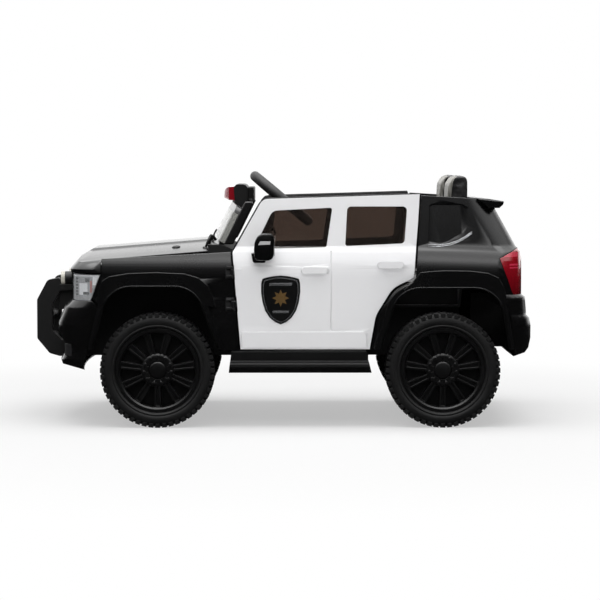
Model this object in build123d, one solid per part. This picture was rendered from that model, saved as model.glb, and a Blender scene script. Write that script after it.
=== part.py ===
"""Child's battery ride-on police SUV: open two-seater with hinged doors and steered wheels.

X runs rearward, Y to the car's right, Z up, in millimetres. The origin is on the ground,
midway between the bull bar and the rear bumper.
"""
from build123d import *
import math
import os

os.makedirs("parts", exist_ok=True)

# Running gear
WHEELBASE = 760
FRONT_OVERHANG = 342        # front axle to the bull bar's face
REAR_OVERHANG = 245         # rear axle to the rear bumper's face
WHEEL_RADIUS = 153          # to the tips of the shoulder lugs
TYRE_WIDTH = 95
TYRE_PROUD = 5              # outer wall of each tyre beyond the waist
RIM_RADIUS = 112
RIM_WALL = 5
HUB_RADIUS = 24
DISH = 16                   # spokes sit this far inside the rim's face
SPOKES = 11
AXLE_RADIUS = 7
BORE_CLEARANCE = 0.5        # radial room of a turning bore
KINGPIN_ROOM = 22           # kingpin's axis to the tyre's inner wall
KINGPIN_RADIUS = 6

# Body shell
HALF_WIDTH = 350            # body side at the waist
SKIN = 4                    # moulded wall
PANEL_GAP = 5               # between a door and what surrounds it
SEAM = 1.5                  # between fixed panels
FLARE_OUT = 20              # arch flare proud of the waist
FLARE_BAND = 15             # arch flare's width in side view
ARCH_TOP = 375
ARCH_GAP = 36               # tyre to the arch's feet, along the car
NOSE_TO_BAR = 58            # bull bar's face to the bumper's face
BELT = 470                  # bottom of the side windows, at the front door
ROOF_LINE = 621             # top of the door frames
DOOR_BOTTOM = 209
DOOR_DEPTH = 22
LINING = 8
GLASS = 3
MIRROR_OUT = 50             # mirror's tip beyond the waist

# Cabin
SEAT_Y = 160                # centre of each seat from the middle
SILL_DEPTH = 58             # waist to the floor tub's side
BOX_ROOM = 28               # seat box to the rear tyres' inner walls
CHASSIS_ROOM = 48           # front chassis to the kingpins
FLOOR_Z = 150
FLOOR_WALL = 6
SEAT_DECK_Z = 318
SEAT_HALF = 95
CUSHION_TOP = 385
RING_DIAMETER = 215         # steering wheel
RING_TUBE = 27

LENGTH = FRONT_OVERHANG + WHEELBASE + REAR_OVERHANG
NOSE_X = -LENGTH / 2
TAIL_X = LENGTH / 2
FRONT_AXLE = NOSE_X + FRONT_OVERHANG
REAR_AXLE = TAIL_X - REAR_OVERHANG
AXLE_Z = WHEEL_RADIUS
BUMPER_X = NOSE_X + NOSE_TO_BAR
CHASSIS_NOSE = BUMPER_X + 50
TYRE_OUTER_Y = HALF_WIDTH + TYRE_PROUD
TYRE_INNER_Y = TYRE_OUTER_Y - TYRE_WIDTH
KINGPIN_Y = TYRE_INNER_Y - KINGPIN_ROOM
TUB_HALF = HALF_WIDTH - SILL_DEPTH
BOX_HALF = TYRE_INNER_Y - BOX_ROOM
CHASSIS_HALF = KINGPIN_Y - CHASSIS_ROOM
MIRROR_Y = HALF_WIDTH + MIRROR_OUT
WHEEL_Y = TYRE_OUTER_Y - TYRE_WIDTH / 2
RIM_WIDTH = TYRE_WIDTH - 12


def outline(*corners):
    """Closed flat face; each corner is (u, v) or (u, v, fillet radius)."""
    face = make_face(Polyline(*[corner[:2] for corner in corners], close=True))
    for u, v, radius in [corner for corner in corners if len(corner) == 3]:
        nearest = face.vertices().sort_by_distance((u, v, 0))[0]
        face = fillet(nearest, radius)
    return face


def side(face, near, far):
    """Runs a side-view face (X, Z) from y = near to y = far."""
    return extrude(Plane.XZ.offset(-near) * face, amount=near - far)


def across(face, start, end):
    """Runs a front-view face (Y, Z) from x = start to x = end."""
    return extrude(Plane.YZ.offset(start) * face, amount=end - start)


def plan(face, low, high):
    """Runs a plan-view face (X, Y) from z = low to z = high."""
    return extrude(Plane.XY.offset(low) * face, amount=high - low)


def block(x_range, y_range, z_range):
    """Box between two values on each axis."""
    sizes = [high - low for low, high in (x_range, y_range, z_range)]
    centre = [(high + low) / 2 for low, high in (x_range, y_range, z_range)]
    return Pos(*centre) * Box(*sizes)


def rod(start, end, radius):
    """Round bar between two points."""
    run = Vector(*end) - Vector(*start)
    return extrude(Plane(start, z_dir=run) * Circle(radius), amount=run.length)


def right_hand(part):
    """The same piece on the car's right."""
    return mirror(part, about=Plane.XZ)


def save(name, part):
    export_step(part, f"parts/{name}.step")


# Side wall of the body: it curves in below the waist and rounds in to a crease above it
WALL_FOOT = 140
WAIST_LOW = 320
WAIST_HIGH = 400
CREASE = 468
LEDGE = 482                 # foot of the window frames, a step above the crease
WALL_TOP = 640
FOOT_LEAN = 20              # inward lean from the waist, at four of those heights
CREASE_LEAN = 18
LEDGE_LEAN = 28
TOP_LEAN = 56


def arc_lean(run, reach, lean):
    """Lean after a run along an arc that leans in by so much over its reach."""
    radius = (reach ** 2 + lean ** 2) / (2 * lean)
    return radius - math.sqrt(radius ** 2 - run ** 2)


def lean_at(height):
    """Inward lean of the side wall at a height."""
    if height < WAIST_LOW:
        return arc_lean(WAIST_LOW - height, WAIST_LOW - WALL_FOOT, FOOT_LEAN)
    if height <= WAIST_HIGH:
        return 0
    if height <= CREASE:
        return arc_lean(height - WAIST_HIGH, CREASE - WAIST_HIGH, CREASE_LEAN)
    if height <= LEDGE:
        return CREASE_LEAN + (LEDGE_LEAN - CREASE_LEAN) * (height - CREASE) / (LEDGE - CREASE)
    return LEDGE_LEAN + (TOP_LEAN - LEDGE_LEAN) * (height - LEDGE) / (WALL_TOP - LEDGE)


def wall_line(depth):
    """Edges of the left side wall in front view, at a depth below its skin."""
    def at(height):
        return (-(HALF_WIDTH - lean_at(height) - depth), height)

    return [
        ThreePointArc(at(WALL_FOOT), at((WALL_FOOT + WAIST_LOW) / 2), at(WAIST_LOW)),
        Line(at(WAIST_LOW), at(WAIST_HIGH)),
        ThreePointArc(at(WAIST_HIGH), at((WAIST_HIGH + CREASE) / 2), at(CREASE)),
        Line(at(CREASE), at(LEDGE)),
        Line(at(LEDGE), at(WALL_TOP)),
    ]


def side_band(depth, back):
    """Front-view strip of the left side wall, from one depth below its skin to another."""
    skin = wall_line(depth)
    rear = wall_line(back)
    ends = [Line(skin[0] @ 0, rear[0] @ 0), Line(skin[-1] @ 1, rear[-1] @ 1)]
    return make_face(skin + rear + ends)


def side_panel(face, depth, back):
    """Side-view face cut from the left side wall between two depths."""
    wall = across(side_band(depth, back), BUMPER_X, TAIL_X)
    return wall & side(face, -2 * HALF_WIDTH, 0)


NOSE_BOW = 20               # the nose stands out this far in the middle
TAIL_BOW = 8                # and the tail
CORNER = 70                 # plan radius of the body's corners


def body_plan(end_inset, height, wall):
    """Plan of the body at a height: bowed ends set in, sides on the side wall, less a wall."""
    half = HALF_WIDTH - lean_at(height) - wall
    front = BUMPER_X + end_inset + wall
    rear = TAIL_X - end_inset - wall
    face = make_face([
        ThreePointArc((front + NOSE_BOW, half), (front, 0), (front + NOSE_BOW, -half)),
        Line((front + NOSE_BOW, -half), (rear - TAIL_BOW, -half)),
        ThreePointArc((rear - TAIL_BOW, -half), (rear, 0), (rear - TAIL_BOW, half)),
        Line((rear - TAIL_BOW, half), (front + NOSE_BOW, half)),
    ])
    return Plane.XY.offset(height) * fillet(face.vertices(), CORNER - wall)


def stacked(levels, wall=0):
    """Solid through the body's plan at each level (end inset, height)."""
    return loft([body_plan(inset, height, wall) for inset, height in levels], ruled=True)


def stacked_shell(levels, wall):
    """Skin of such a stack, open above and below."""
    return stacked(levels) - stacked(levels, wall)


def arch_face(axle, top, lean_front, lean_rear, grow):
    """Wheel arch opening in side view, grown outward for its flare."""
    reach = WHEEL_RADIUS + ARCH_GAP + grow
    foot = FLOOR_Z - 20
    shoulder = 75 + grow
    return outline(
        (axle - reach, foot),
        (axle - reach + lean_front, top + grow, shoulder),
        (axle + reach - lean_rear, top + grow, shoulder),
        (axle + reach, foot),
    )


FRONT_ARCH = (FRONT_AXLE, ARCH_TOP, 62, 90)
REAR_ARCH = (REAR_AXLE, ARCH_TOP - 4, 72, 44)


def arch_cut(arch, grow=0):
    """Space of a pair of wheel arches, right across the car's sides."""
    return side(arch_face(*arch, grow), -2 * HALF_WIDTH, 2 * HALF_WIDTH)


def flare(arch, foot):
    """Raised lip round one left-hand arch, above its foot height."""
    lip = arch_face(*arch, FLARE_BAND) - arch_face(*arch, 0)
    strip = side(lip, -(HALF_WIDTH + FLARE_OUT), -(HALF_WIDTH - 14))
    return strip & block((NOSE_X, TAIL_X), (-2 * HALF_WIDTH, 0), (foot, ARCH_TOP + 2 * FLARE_BAND))


# Doors: one moulding a side, hung at the front edge
HINGE_X = FRONT_AXLE + 200
HINGE_Y = HALF_WIDTH + 2
DOOR_REAR = REAR_AXLE - 66


def door_face(grow):
    """Door outline, grown by the shut gap or shrunk for what lies inside it."""
    rear = DOOR_REAR + grow
    foot = REAR_AXLE - 195 + grow
    return outline(
        (HINGE_X + 21 - grow, DOOR_BOTTOM - grow),
        (HINGE_X - grow, BELT - 3),
        (HINGE_X + 80 - grow, ROOF_LINE - 13 + grow, 24),
        (rear + 6, ROOF_LINE + grow),
        (rear, 536),
        (rear - 12, 400 - grow, 14),
        (rear - 68, 372 - grow, 60),
        (foot + 16, 300, 80),
        (foot, DOOR_BOTTOM - grow),
    )


FRONT_WINDOW = outline(
    (HINGE_X + 56, BELT + 5, 8),
    (HINGE_X + 106, BELT + 107, 22),
    (HINGE_X + 266, BELT + 115, 6),
    (HINGE_X + 250, BELT + 10, 6),
)
REAR_WINDOW = outline(
    (HINGE_X + 300, BELT + 13, 6),
    (HINGE_X + 306, BELT + 118, 11),
    (DOOR_REAR - 28, BELT + 118, 11),
    (DOOR_REAR - 36, BELT + 20, 11),
)
INNER_LIP = 12              # door's thickness starts this far inside its edge
windows = FRONT_WINDOW + REAR_WINDOW

door = side_panel(door_face(0), 0, SKIN) + side_panel(door_face(-INNER_LIP), SKIN - 1, DOOR_DEPTH)
lower_panel = outline(
    (HINGE_X + 26, DOOR_BOTTOM + 4),
    (HINGE_X + 22, DOOR_BOTTOM + 48, 10),
    (REAR_AXLE - 206, DOOR_BOTTOM + 48, 10),
    (REAR_AXLE - 202, DOOR_BOTTOM + 4),
)
door += side_panel(lower_panel, -4, 1)
SEAM_X = HINGE_X + 262      # moulded groove between the front and the rear door
door_seam = Pos(SEAM_X, (DOOR_BOTTOM + 50 + BELT) / 2) * Rectangle(3, BELT - DOOR_BOTTOM - 50)
door -= side_panel(door_seam, -1, SKIN / 2)
door -= side(windows, -2 * HALF_WIDTH, 0)
# door handles: x from the hinge, height
for handle_x, handle_z in [(218, 420), (420, 434)]:
    grip = side(Pos(HINGE_X + handle_x, handle_z) * SlotOverall(72, 18), -HALF_WIDTH - 12, -HALF_WIDTH + SKIN)
    hollow = side(Pos(HINGE_X + handle_x, handle_z - 5) * SlotOverall(48, 10), -HALF_WIDTH - 8, -HALF_WIDTH)
    door += grip - hollow
door_lining = side_panel(door_face(-INNER_LIP - 2) - windows, DOOR_DEPTH, DOOR_DEPTH + LINING)
door_glass = side_panel(windows, 8, 8 + GLASS)

mirror_arm = side(outline((HINGE_X + 50, BELT - 30), (HINGE_X + 62, BELT - 2),
                          (HINGE_X + 88, BELT - 2), (HINGE_X + 90, BELT - 30)),
                  -MIRROR_Y + 34, -HALF_WIDTH + SKIN)
mirror_shell = side(outline((HINGE_X + 58, BELT - 24, 8), (HINGE_X + 70, BELT + 50, 14),
                            (HINGE_X + 112, BELT + 50, 10), (HINGE_X + 112, BELT - 24, 10)),
                    -MIRROR_Y, -MIRROR_Y + 66)
mirror_recess = side(outline((HINGE_X + 108, BELT - 18), (HINGE_X + 108, BELT + 44),
                             (HINGE_X + 120, BELT + 44), (HINGE_X + 120, BELT - 18)),
                     -MIRROR_Y + 5, -MIRROR_Y + 61)
door_skin_space = across(side_band(0, HALF_WIDTH), HINGE_X, DOOR_REAR)
door_mirror = (mirror_arm + mirror_shell - mirror_recess) - door_skin_space

# Door hinges: an eye on the door between two lugs and a pin on the wing; heights of the eyes
HINGE_HEIGHTS = (330, 415)
EYE_HALF = 8
EYE_RADIUS = 3.4
LUG_TALL = 6
HINGE_PIN = 1.8
LUG_RADIUS = 3.2
NOTCH = 1                   # room round an eye or a lug


def hinge_post(radius, height, half):
    """Upright cylinder on the door's hinge line."""
    return Pos(HINGE_X, -HINGE_Y, height) * Cylinder(radius, 2 * half)


hinge_pins = Part()
for height in HINGE_HEIGHTS:
    lug_far = EYE_HALF + 1 + LUG_TALL
    door -= block((HINGE_X - 20, HINGE_X + EYE_RADIUS + NOTCH),
                  (-HINGE_Y - 20, -HALF_WIDTH + DOOR_DEPTH),
                  (height - lug_far - NOTCH, height + lug_far + NOTCH))
    door += hinge_post(EYE_RADIUS, height, EYE_HALF)
    door += block((HINGE_X, HINGE_X + 24), (-HALF_WIDTH, -HALF_WIDTH + SKIN - 1),
                  (height - EYE_HALF, height + EYE_HALF))
    door -= hinge_post(HINGE_PIN + BORE_CLEARANCE, height, EYE_HALF + 1)
    hinge_pins += hinge_post(HINGE_PIN, height, lug_far)
    for end in (-1, 1):
        lug_z = height + end * (EYE_HALF + 1 + LUG_TALL / 2)
        lug = block((HINGE_X - 16, HINGE_X), (-HINGE_Y - 1, -HALF_WIDTH + SKIN - 1),
                    (lug_z - LUG_TALL / 2, lug_z + LUG_TALL / 2))
        hinge_pins += lug + hinge_post(LUG_RADIUS, lug_z, LUG_TALL / 2)

for name, part in [("door", door), ("door_lining", door_lining),
                   ("door_glass", door_glass), ("mirror", door_mirror)]:
    save(f"{name}_left", part)
    save(f"{name}_right", right_hand(part))

# Front wings: side wall with a shelf in to the hood
HOOD_INSET = 50             # waist to the hood's side seam
HOOD_HALF = HALF_WIDTH - HOOD_INSET
CREASE_FRONT = 446          # wing's top crease at the lamp
LAMP_TOP = 412
LAMP_BOTTOM = 338
WING_FRONT = FRONT_AXLE - 148
fender_face = outline(
    (HINGE_X - PANEL_GAP, BELT - 3),
    (WING_FRONT, CREASE_FRONT + 4),
    (WING_FRONT, LAMP_TOP),
    (WING_FRONT - 24, LAMP_BOTTOM + 8),
    (WING_FRONT - 6, LAMP_BOTTOM - 20),
    (FRONT_AXLE, LAMP_BOTTOM - 60),
    (FRONT_AXLE + 100, DOOR_BOTTOM - 3),
    (HINGE_X + 21 - PANEL_GAP, DOOR_BOTTOM - 3),
)
fender = side_panel(fender_face, 0, SKIN) - arch_cut(FRONT_ARCH)
shelf_half = HALF_WIDTH - CREASE_LEAN
shelf_face = outline(
    (HINGE_X - PANEL_GAP, CREASE),
    (WING_FRONT, CREASE_FRONT),
    (WING_FRONT, CREASE_FRONT - SKIN),
    (HINGE_X - PANEL_GAP, CREASE - SKIN),
)
fender += side(shelf_face, -shelf_half - 6, -HOOD_HALF - SEAM) & across(
    side_band(0, HALF_WIDTH), BUMPER_X, TAIL_X)
fender += flare(FRONT_ARCH, DOOR_BOTTOM)
for height in HINGE_HEIGHTS:
    fender -= block((HINGE_X - EYE_RADIUS - NOTCH, HINGE_X + 30),
                    (-HINGE_Y - 10, -HALF_WIDTH + 2 * SKIN),
                    (height - EYE_HALF - 1, height + EYE_HALF + 1))
fender += hinge_pins
save("fender_left", fender)
save("fender_right", right_hand(fender))

# Hood: crowned top with a raised middle, sloping down to a nose that wraps over the lamps
HOOD_REAR = HINGE_X - 67
HOOD_SLOPE = 4.6            # degrees
CROWN_FRONT = 474           # crown's height where the nose begins
CROWN_X = BUMPER_X + 119
BULGE_HALF = 118
BULGE_RISE = 7
NOSE_LEVELS = [
    (37, LAMP_TOP),
    (35, LAMP_TOP + 10),
    (62, CREASE_FRONT + 6),
    (101, CROWN_FRONT),
    (160, CROWN_FRONT + 44),
]


def hood_top(drop):
    """Everything below the hood's skin, less a drop."""
    edge = CREASE_FRONT - drop
    shoulder = CROWN_FRONT - BULGE_RISE - drop
    crown = CROWN_FRONT - drop
    half = [
        Line((0, LAMP_BOTTOM), (-HALF_WIDTH, LAMP_BOTTOM)),
        Line((-HALF_WIDTH, LAMP_BOTTOM), (-HALF_WIDTH, edge - 6)),
        Line((-HALF_WIDTH, edge - 6), (-HOOD_HALF, edge)),
        ThreePointArc((-HOOD_HALF, edge), (-(HOOD_HALF + BULGE_HALF) / 2, shoulder - 7),
                      (-BULGE_HALF - 10, shoulder)),
        Line((-BULGE_HALF - 10, shoulder), (-BULGE_HALF, crown - 2)),
        ThreePointArc((-BULGE_HALF, crown - 2), (-BULGE_HALF / 2, crown - 0.5), (0, crown)),
        Line((0, crown), (0, LAMP_BOTTOM)),
    ]
    face = make_face(half)
    rise = math.tan(math.radians(HOOD_SLOPE))
    run = HINGE_X - NOSE_X
    start = Plane((NOSE_X, 0, (NOSE_X - CROWN_X) * rise), x_dir=(0, 1, 0), z_dir=(1, 0, 0))
    left = extrude(start * face, amount=run, dir=(1, 0, rise))
    return left + right_hand(left)


hood_plan = outline(
    (NOSE_X, -HALF_WIDTH),
    (WING_FRONT - SEAM, -HALF_WIDTH),
    (WING_FRONT - SEAM, -HOOD_HALF),
    (HOOD_REAR, -HOOD_HALF),
    (HOOD_REAR, HOOD_HALF),
    (WING_FRONT - SEAM, HOOD_HALF),
    (WING_FRONT - SEAM, HALF_WIDTH),
    (NOSE_X, HALF_WIDTH),
)
hood = hood_top(0) & stacked(NOSE_LEVELS)
hood -= hood_top(SKIN) & stacked(NOSE_LEVELS, SKIN)
hood &= plan(hood_plan, LAMP_TOP, ROOF_LINE)
save("hood", hood)

# Front bumper: inset from the body's plan, height
FRONT_LEVELS = [
    (66, 150),
    (12, 166),
    (8, 178),
    (22, 204),
    (18, 222),
    (2, 258),
    (3, 278),
    (19, 318),
    (40, LAMP_BOTTOM),
]
bumper_space = outline(
    (NOSE_X, FLOOR_Z - 10),
    (NOSE_X, LAMP_BOTTOM),
    (WING_FRONT - 24 - SEAM, LAMP_BOTTOM),
    (WING_FRONT - 6 - SEAM, LAMP_BOTTOM - 20),
    (FRONT_AXLE - 100, LAMP_BOTTOM - 40),
    (FRONT_AXLE - 100, FLOOR_Z - 10),
)
bumper = stacked_shell(FRONT_LEVELS, SKIN) & side(bumper_space, -HALF_WIDTH, HALF_WIDTH)
bumper -= arch_cut(FRONT_ARCH, FLARE_BAND)
INTAKE = outline((-170, 218, 14), (-200, 300, 14), (200, 300, 14), (170, 218, 14))
bumper -= across(INTAKE, NOSE_X, FRONT_AXLE)
# fixing ears back to the chassis
for hand in (-1, 1):
    ear = block((BUMPER_X, CHASSIS_NOSE), sorted((hand * 150, hand * 160)), (185, 210))
    bumper += ear & stacked(FRONT_LEVELS, 1)
save("front_bumper", bumper)

# Grille: slatted panel between the lamps and in the bumper's intake
GRILLE_HALF = 205
GRILLE_IN = 42
grille_ring = stacked_shell([(GRILLE_IN, LAMP_BOTTOM), (GRILLE_IN, LAMP_TOP - 4)], 14)
grille = grille_ring & block((NOSE_X, FRONT_AXLE), (-GRILLE_HALF, GRILLE_HALF),
                             (LAMP_BOTTOM, LAMP_TOP - 4))
for row in range(4):
    slot_z = LAMP_BOTTOM + 12 + 15 * row
    grille -= block((NOSE_X, BUMPER_X + GRILLE_IN + 12), (-GRILLE_HALF + 12, GRILLE_HALF - 12),
                    (slot_z, slot_z + 9))
INTAKE_WALL = 8
intake_ring = stacked(FRONT_LEVELS, SKIN) - stacked(FRONT_LEVELS, SKIN + INTAKE_WALL)
intake = intake_ring & block((NOSE_X, FRONT_AXLE), (-204, 204), (212, 304))
for row in range(4):
    slot_z = 224 + 18 * row
    intake -= block((NOSE_X, FRONT_AXLE), (-180, 180), (slot_z, slot_z + 10))
save("grille", grille + intake)

# Headlamps: wrap round the nose's corners
headlamp_face = outline(
    (BUMPER_X, LAMP_TOP - 2),
    (WING_FRONT - SEAM - 2, LAMP_TOP - 4),
    (WING_FRONT - 24 - SEAM, LAMP_BOTTOM + 8),
    (WING_FRONT - 30, LAMP_BOTTOM),
    (BUMPER_X, LAMP_BOTTOM),
)
lamp_ring = stacked_shell([(GRILLE_IN, LAMP_BOTTOM), (GRILLE_IN, LAMP_TOP)], 34)
lamp_pair = lamp_ring & side(headlamp_face, -HALF_WIDTH, HALF_WIDTH)
lamp_pair -= block((NOSE_X, FRONT_AXLE), (-GRILLE_HALF, GRILLE_HALF), (0, ROOF_LINE))
save("headlamps", lamp_pair)

# Bull bar: two grooved uprights, each with a stay to the grille, and three cross tubes
BAR_Y = 120                 # centre of each upright
BAR_WIDTH = 36
BAR_DEPTH = 42
BAR_HEAD = 63               # depth of the upright's head
BAR_TOP = 390
BAR_FOOT = 174
STAY_TOP = 372
STAY_TALL = 14
bar_face = outline(
    (NOSE_X, 223, 12),
    (NOSE_X, 330, 12),
    (NOSE_X + 29, BAR_TOP - 6, 14),
    (NOSE_X + BAR_HEAD, BAR_TOP, 5),
    (NOSE_X + BAR_HEAD, STAY_TOP),
    (NOSE_X + 140, STAY_TOP),
    (NOSE_X + 140, STAY_TOP - STAY_TALL),
    (NOSE_X + BAR_HEAD, STAY_TOP - STAY_TALL - 4, 4),
    (NOSE_X + BAR_DEPTH, 318, 8),
    (NOSE_X + BAR_DEPTH, 243, 8),
    (NOSE_X + BAR_HEAD + 3, 220, 6),
    (NOSE_X + 120, 214),
    (NOSE_X + 120, BAR_FOOT + 6),
    (NOSE_X + 62, BAR_FOOT),
    (NOSE_X + 34, BAR_FOOT + 8, 12),
)
bull_bar = Part()
for hand in (-1, 1):
    bull_bar += side(bar_face, hand * BAR_Y - BAR_WIDTH / 2, hand * BAR_Y + BAR_WIDTH / 2)
# cross tubes between the uprights: height, radius
for tube_z, tube_radius in [(350, 13), (280, 11), (214, 13)]:
    tube_x = NOSE_X + 26
    bull_bar += rod((tube_x, -BAR_Y, tube_z), (tube_x, BAR_Y, tube_z), tube_radius)
bar_groove = block((NOSE_X - 1, NOSE_X + 5), (-5, 5), (228, 325))
for hand in (-1, 1):
    bull_bar -= Pos(0, hand * BAR_Y, 0) * bar_groove
bull_bar -= stacked(FRONT_LEVELS) + stacked([(GRILLE_IN, LAMP_BOTTOM), (GRILLE_IN, LAMP_TOP)])
save("bull_bar", bull_bar)

# Spot lamps seated on the stays
POD_RADIUS = 19
POD_LENGTH = 30
pods = Part()
for hand in (-1, 1):
    pod_foot = (NOSE_X + BAR_HEAD + 3, hand * BAR_Y, STAY_TOP + POD_RADIUS - 3)
    pod = rod(pod_foot, (pod_foot[0] + POD_LENGTH, pod_foot[1], pod_foot[2]), POD_RADIUS)
    pods += pod - block((NOSE_X, 0), (-HALF_WIDTH, HALF_WIDTH), (0, STAY_TOP))
save("lamp_pods", pods)

# Cowl and windscreen: a bowed frame standing on the cowl
COWL_FRONT = HOOD_REAR
COWL_HALF = HOOD_HALF - 2
COWL_TOP = 486
cowl_face = outline(
    (COWL_FRONT, COWL_TOP - 26),
    (COWL_FRONT, COWL_TOP),
    (HINGE_X - 30, COWL_TOP, 10),
    (HINGE_X + 4, COWL_TOP - 14),
    (HINGE_X + 4, COWL_TOP - 26),
)
save("cowl", side(cowl_face, -COWL_HALF, COWL_HALF))

SCREEN_LEAN = 63            # degrees from level
SCREEN_HEIGHT = 128         # along the slope
SCREEN_BASE_HALF = COWL_HALF - 4
SCREEN_TAPER = 22           # screen's top narrower than its base, each side
SCREEN_TOP_HALF = SCREEN_BASE_HALF - SCREEN_TAPER
SCREEN_BOW = 24             # centre stands ahead of the pillars
FRAME_DEPTH = 20
FRAME_BAR = 34
slope = math.radians(SCREEN_LEAN)
up_slope = Vector(math.cos(slope), 0, math.sin(slope))
out_of_screen = Vector(-math.sin(slope), 0, math.cos(slope))
screen_foot = Vector(COWL_FRONT + 2, 0, COWL_TOP)
screen_plane = Plane(screen_foot, x_dir=(0, -1, 0), z_dir=out_of_screen)
bow_radius = (SCREEN_BASE_HALF ** 2 + SCREEN_BOW ** 2) / (2 * SCREEN_BOW)


def bowed_sheet(depth, back):
    """Tube wall along the slope, from one depth behind the screen's face to another."""
    centre = screen_foot - out_of_screen * bow_radius - up_slope * SCREEN_HEIGHT
    base = Plane(centre, z_dir=up_slope)
    ring = Circle(bow_radius - depth) - Circle(bow_radius - back)
    return extrude(base * ring, amount=3 * SCREEN_HEIGHT)


def screen_face(inset, base, corner):
    """Screen outline in its own plane, from its base line up."""
    return outline(
        (-SCREEN_BASE_HALF + inset, base),
        (-SCREEN_TOP_HALF + inset, SCREEN_HEIGHT - inset, corner),
        (SCREEN_TOP_HALF - inset, SCREEN_HEIGHT - inset, corner),
        (SCREEN_BASE_HALF - inset, base),
    )


def screen_prism(face):
    """Screen outline run right through the bowed sheet."""
    return extrude(screen_plane * face, amount=2 * SCREEN_BOW, both=True)


above_cowl = block((NOSE_X, TAIL_X), (-HALF_WIDTH, HALF_WIDTH), (COWL_TOP, 2 * ROOF_LINE))
pane_prism = screen_prism(screen_face(FRAME_BAR, FRAME_BAR - 10, 12))
frame = bowed_sheet(0, FRAME_DEPTH) & screen_prism(screen_face(0, -40, 26)) - pane_prism
frame = frame & above_cowl
save("windscreen_frame", frame)
save("windscreen", bowed_sheet(8, 8 + GLASS) & pane_prism)

# Roof light on the screen's top bar: a housing with a red and a blue lens
BEACON_HALF = 150
BEACON_DEPTH = 64
BEACON_HEIGHT = 46
beacon_seat = screen_foot + up_slope * SCREEN_HEIGHT
beacon_z = beacon_seat.Z
beacon_x = beacon_seat.X - 20
beacon_face = outline(
    (beacon_x + 30, beacon_z - 14),
    (beacon_x + 26, beacon_z + 34, 8),
    (beacon_x + 32, beacon_z + BEACON_HEIGHT, 6),
    (beacon_x + BEACON_DEPTH, beacon_z + BEACON_HEIGHT, 14),
    (beacon_x + BEACON_DEPTH, beacon_z - 14),
)
screen_top = extrude(screen_plane * screen_face(0, -40, 26), amount=4 * SCREEN_BOW, both=True)
beacon = side(beacon_face, -BEACON_HALF, BEACON_HALF) - screen_top
save("beacon_housing", beacon)
lens_face = outline(
    (beacon_x, beacon_z + 4, 6),
    (beacon_x + 2, beacon_z + 38, 14),
    (beacon_x + 26, beacon_z + 40),
    (beacon_x + 30, beacon_z + 2),
)
lens = side(lens_face, -BEACON_HALF + 4, -2) - side(beacon_face, -BEACON_HALF, BEACON_HALF)
lens -= screen_top
save("beacon_red", lens)
save("beacon_blue", right_hand(lens))

TAIL_IN = 26                # tail panel ahead of the bumper's face
TAIL_LAMP_FOOT = 354
TAIL_TOP = 584              # top of the tail panel
# Tail above the bumper: inset from the body's plan, height
TAIL_LEVELS = [
    (TAIL_IN, 200),
    (TAIL_IN, 260),
    (TAIL_IN, WAIST_LOW),
    (TAIL_IN, TAIL_LAMP_FOOT),
    (TAIL_IN, WAIST_HIGH),
    (TAIL_IN, 424),
    (TAIL_IN, 446),
    (TAIL_IN, CREASE),
    (TAIL_IN + 14, LEDGE),
    (TAIL_IN + 69, TAIL_TOP),
    (TAIL_IN + 90, ROOF_LINE + 4),
]
GATE_LEVELS = TAIL_LEVELS[3:-1]
# Rear bumper: inset from the body's plan, height
REAR_LEVELS = [
    (66, 177),
    (14, 196),
    (5, 209),
    (0, 236),
    (0, 268),
    (4, 290),
    (12, 298),
    (16, 346),
    (TAIL_IN, TAIL_LAMP_FOOT),
]

# Floor tub: footwell, toe board and the seat box between the rear wheels
TOE_X = HINGE_X - 2
BOX_FRONT = REAR_AXLE - 203
BOX_REAR = REAR_AXLE + 50
BOX_FLOOR = AXLE_Z + 32
CHASSIS_FLOOR = AXLE_Z + 28
tub_outer = outline(
    (TOE_X, COWL_TOP - 26),
    (TOE_X, 235),
    (TOE_X + 25, FLOOR_Z),
    (BOX_FRONT, FLOOR_Z),
    (BOX_FRONT, COWL_TOP - 26),
)
tub_inner = outline(
    (TOE_X + FLOOR_WALL, COWL_TOP),
    (TOE_X + FLOOR_WALL, 237),
    (TOE_X + 25 + FLOOR_WALL, FLOOR_Z + FLOOR_WALL),
    (BOX_FRONT + 10, FLOOR_Z + FLOOR_WALL),
    (BOX_FRONT + 10, COWL_TOP),
)
wall_drop = block((TOE_X + 40, TAIL_X), (-HALF_WIDTH, HALF_WIDTH), (DOOR_BOTTOM + 20, ROOF_LINE))
tub = side(tub_outer, -TUB_HALF, TUB_HALF)
tub -= side(tub_inner, -TUB_HALF + FLOOR_WALL, TUB_HALF - FLOOR_WALL)
tub -= wall_drop
tub += block((BOX_FRONT, BOX_REAR), (-BOX_HALF, BOX_HALF), (BOX_FLOOR, SEAT_DECK_Z + FLOOR_WALL))
tub -= block((BOX_FRONT + FLOOR_WALL, BOX_REAR - FLOOR_WALL),
             (-BOX_HALF + FLOOR_WALL, BOX_HALF - FLOOR_WALL), (BOX_FLOOR + FLOOR_WALL, SEAT_DECK_Z))
riser = block((BOX_FRONT, BOX_FRONT + FLOOR_WALL), (-TUB_HALF, TUB_HALF),
              (FLOOR_Z, SEAT_DECK_Z + FLOOR_WALL))
deck = block((BOX_FRONT, BOX_REAR), (-TUB_HALF, TUB_HALF), (SEAT_DECK_Z, SEAT_DECK_Z + FLOOR_WALL))
tub += riser + deck
# open-topped front chassis between the steered wheels
front_box = block((CHASSIS_NOSE, TOE_X + 10), (-CHASSIS_HALF, CHASSIS_HALF), (CHASSIS_FLOOR, 265))
front_space = block((CHASSIS_NOSE + FLOOR_WALL, TOE_X),
                    (-CHASSIS_HALF + FLOOR_WALL, CHASSIS_HALF - FLOOR_WALL),
                    (CHASSIS_FLOOR + FLOOR_WALL, 300))
tub += front_box - front_space
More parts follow.
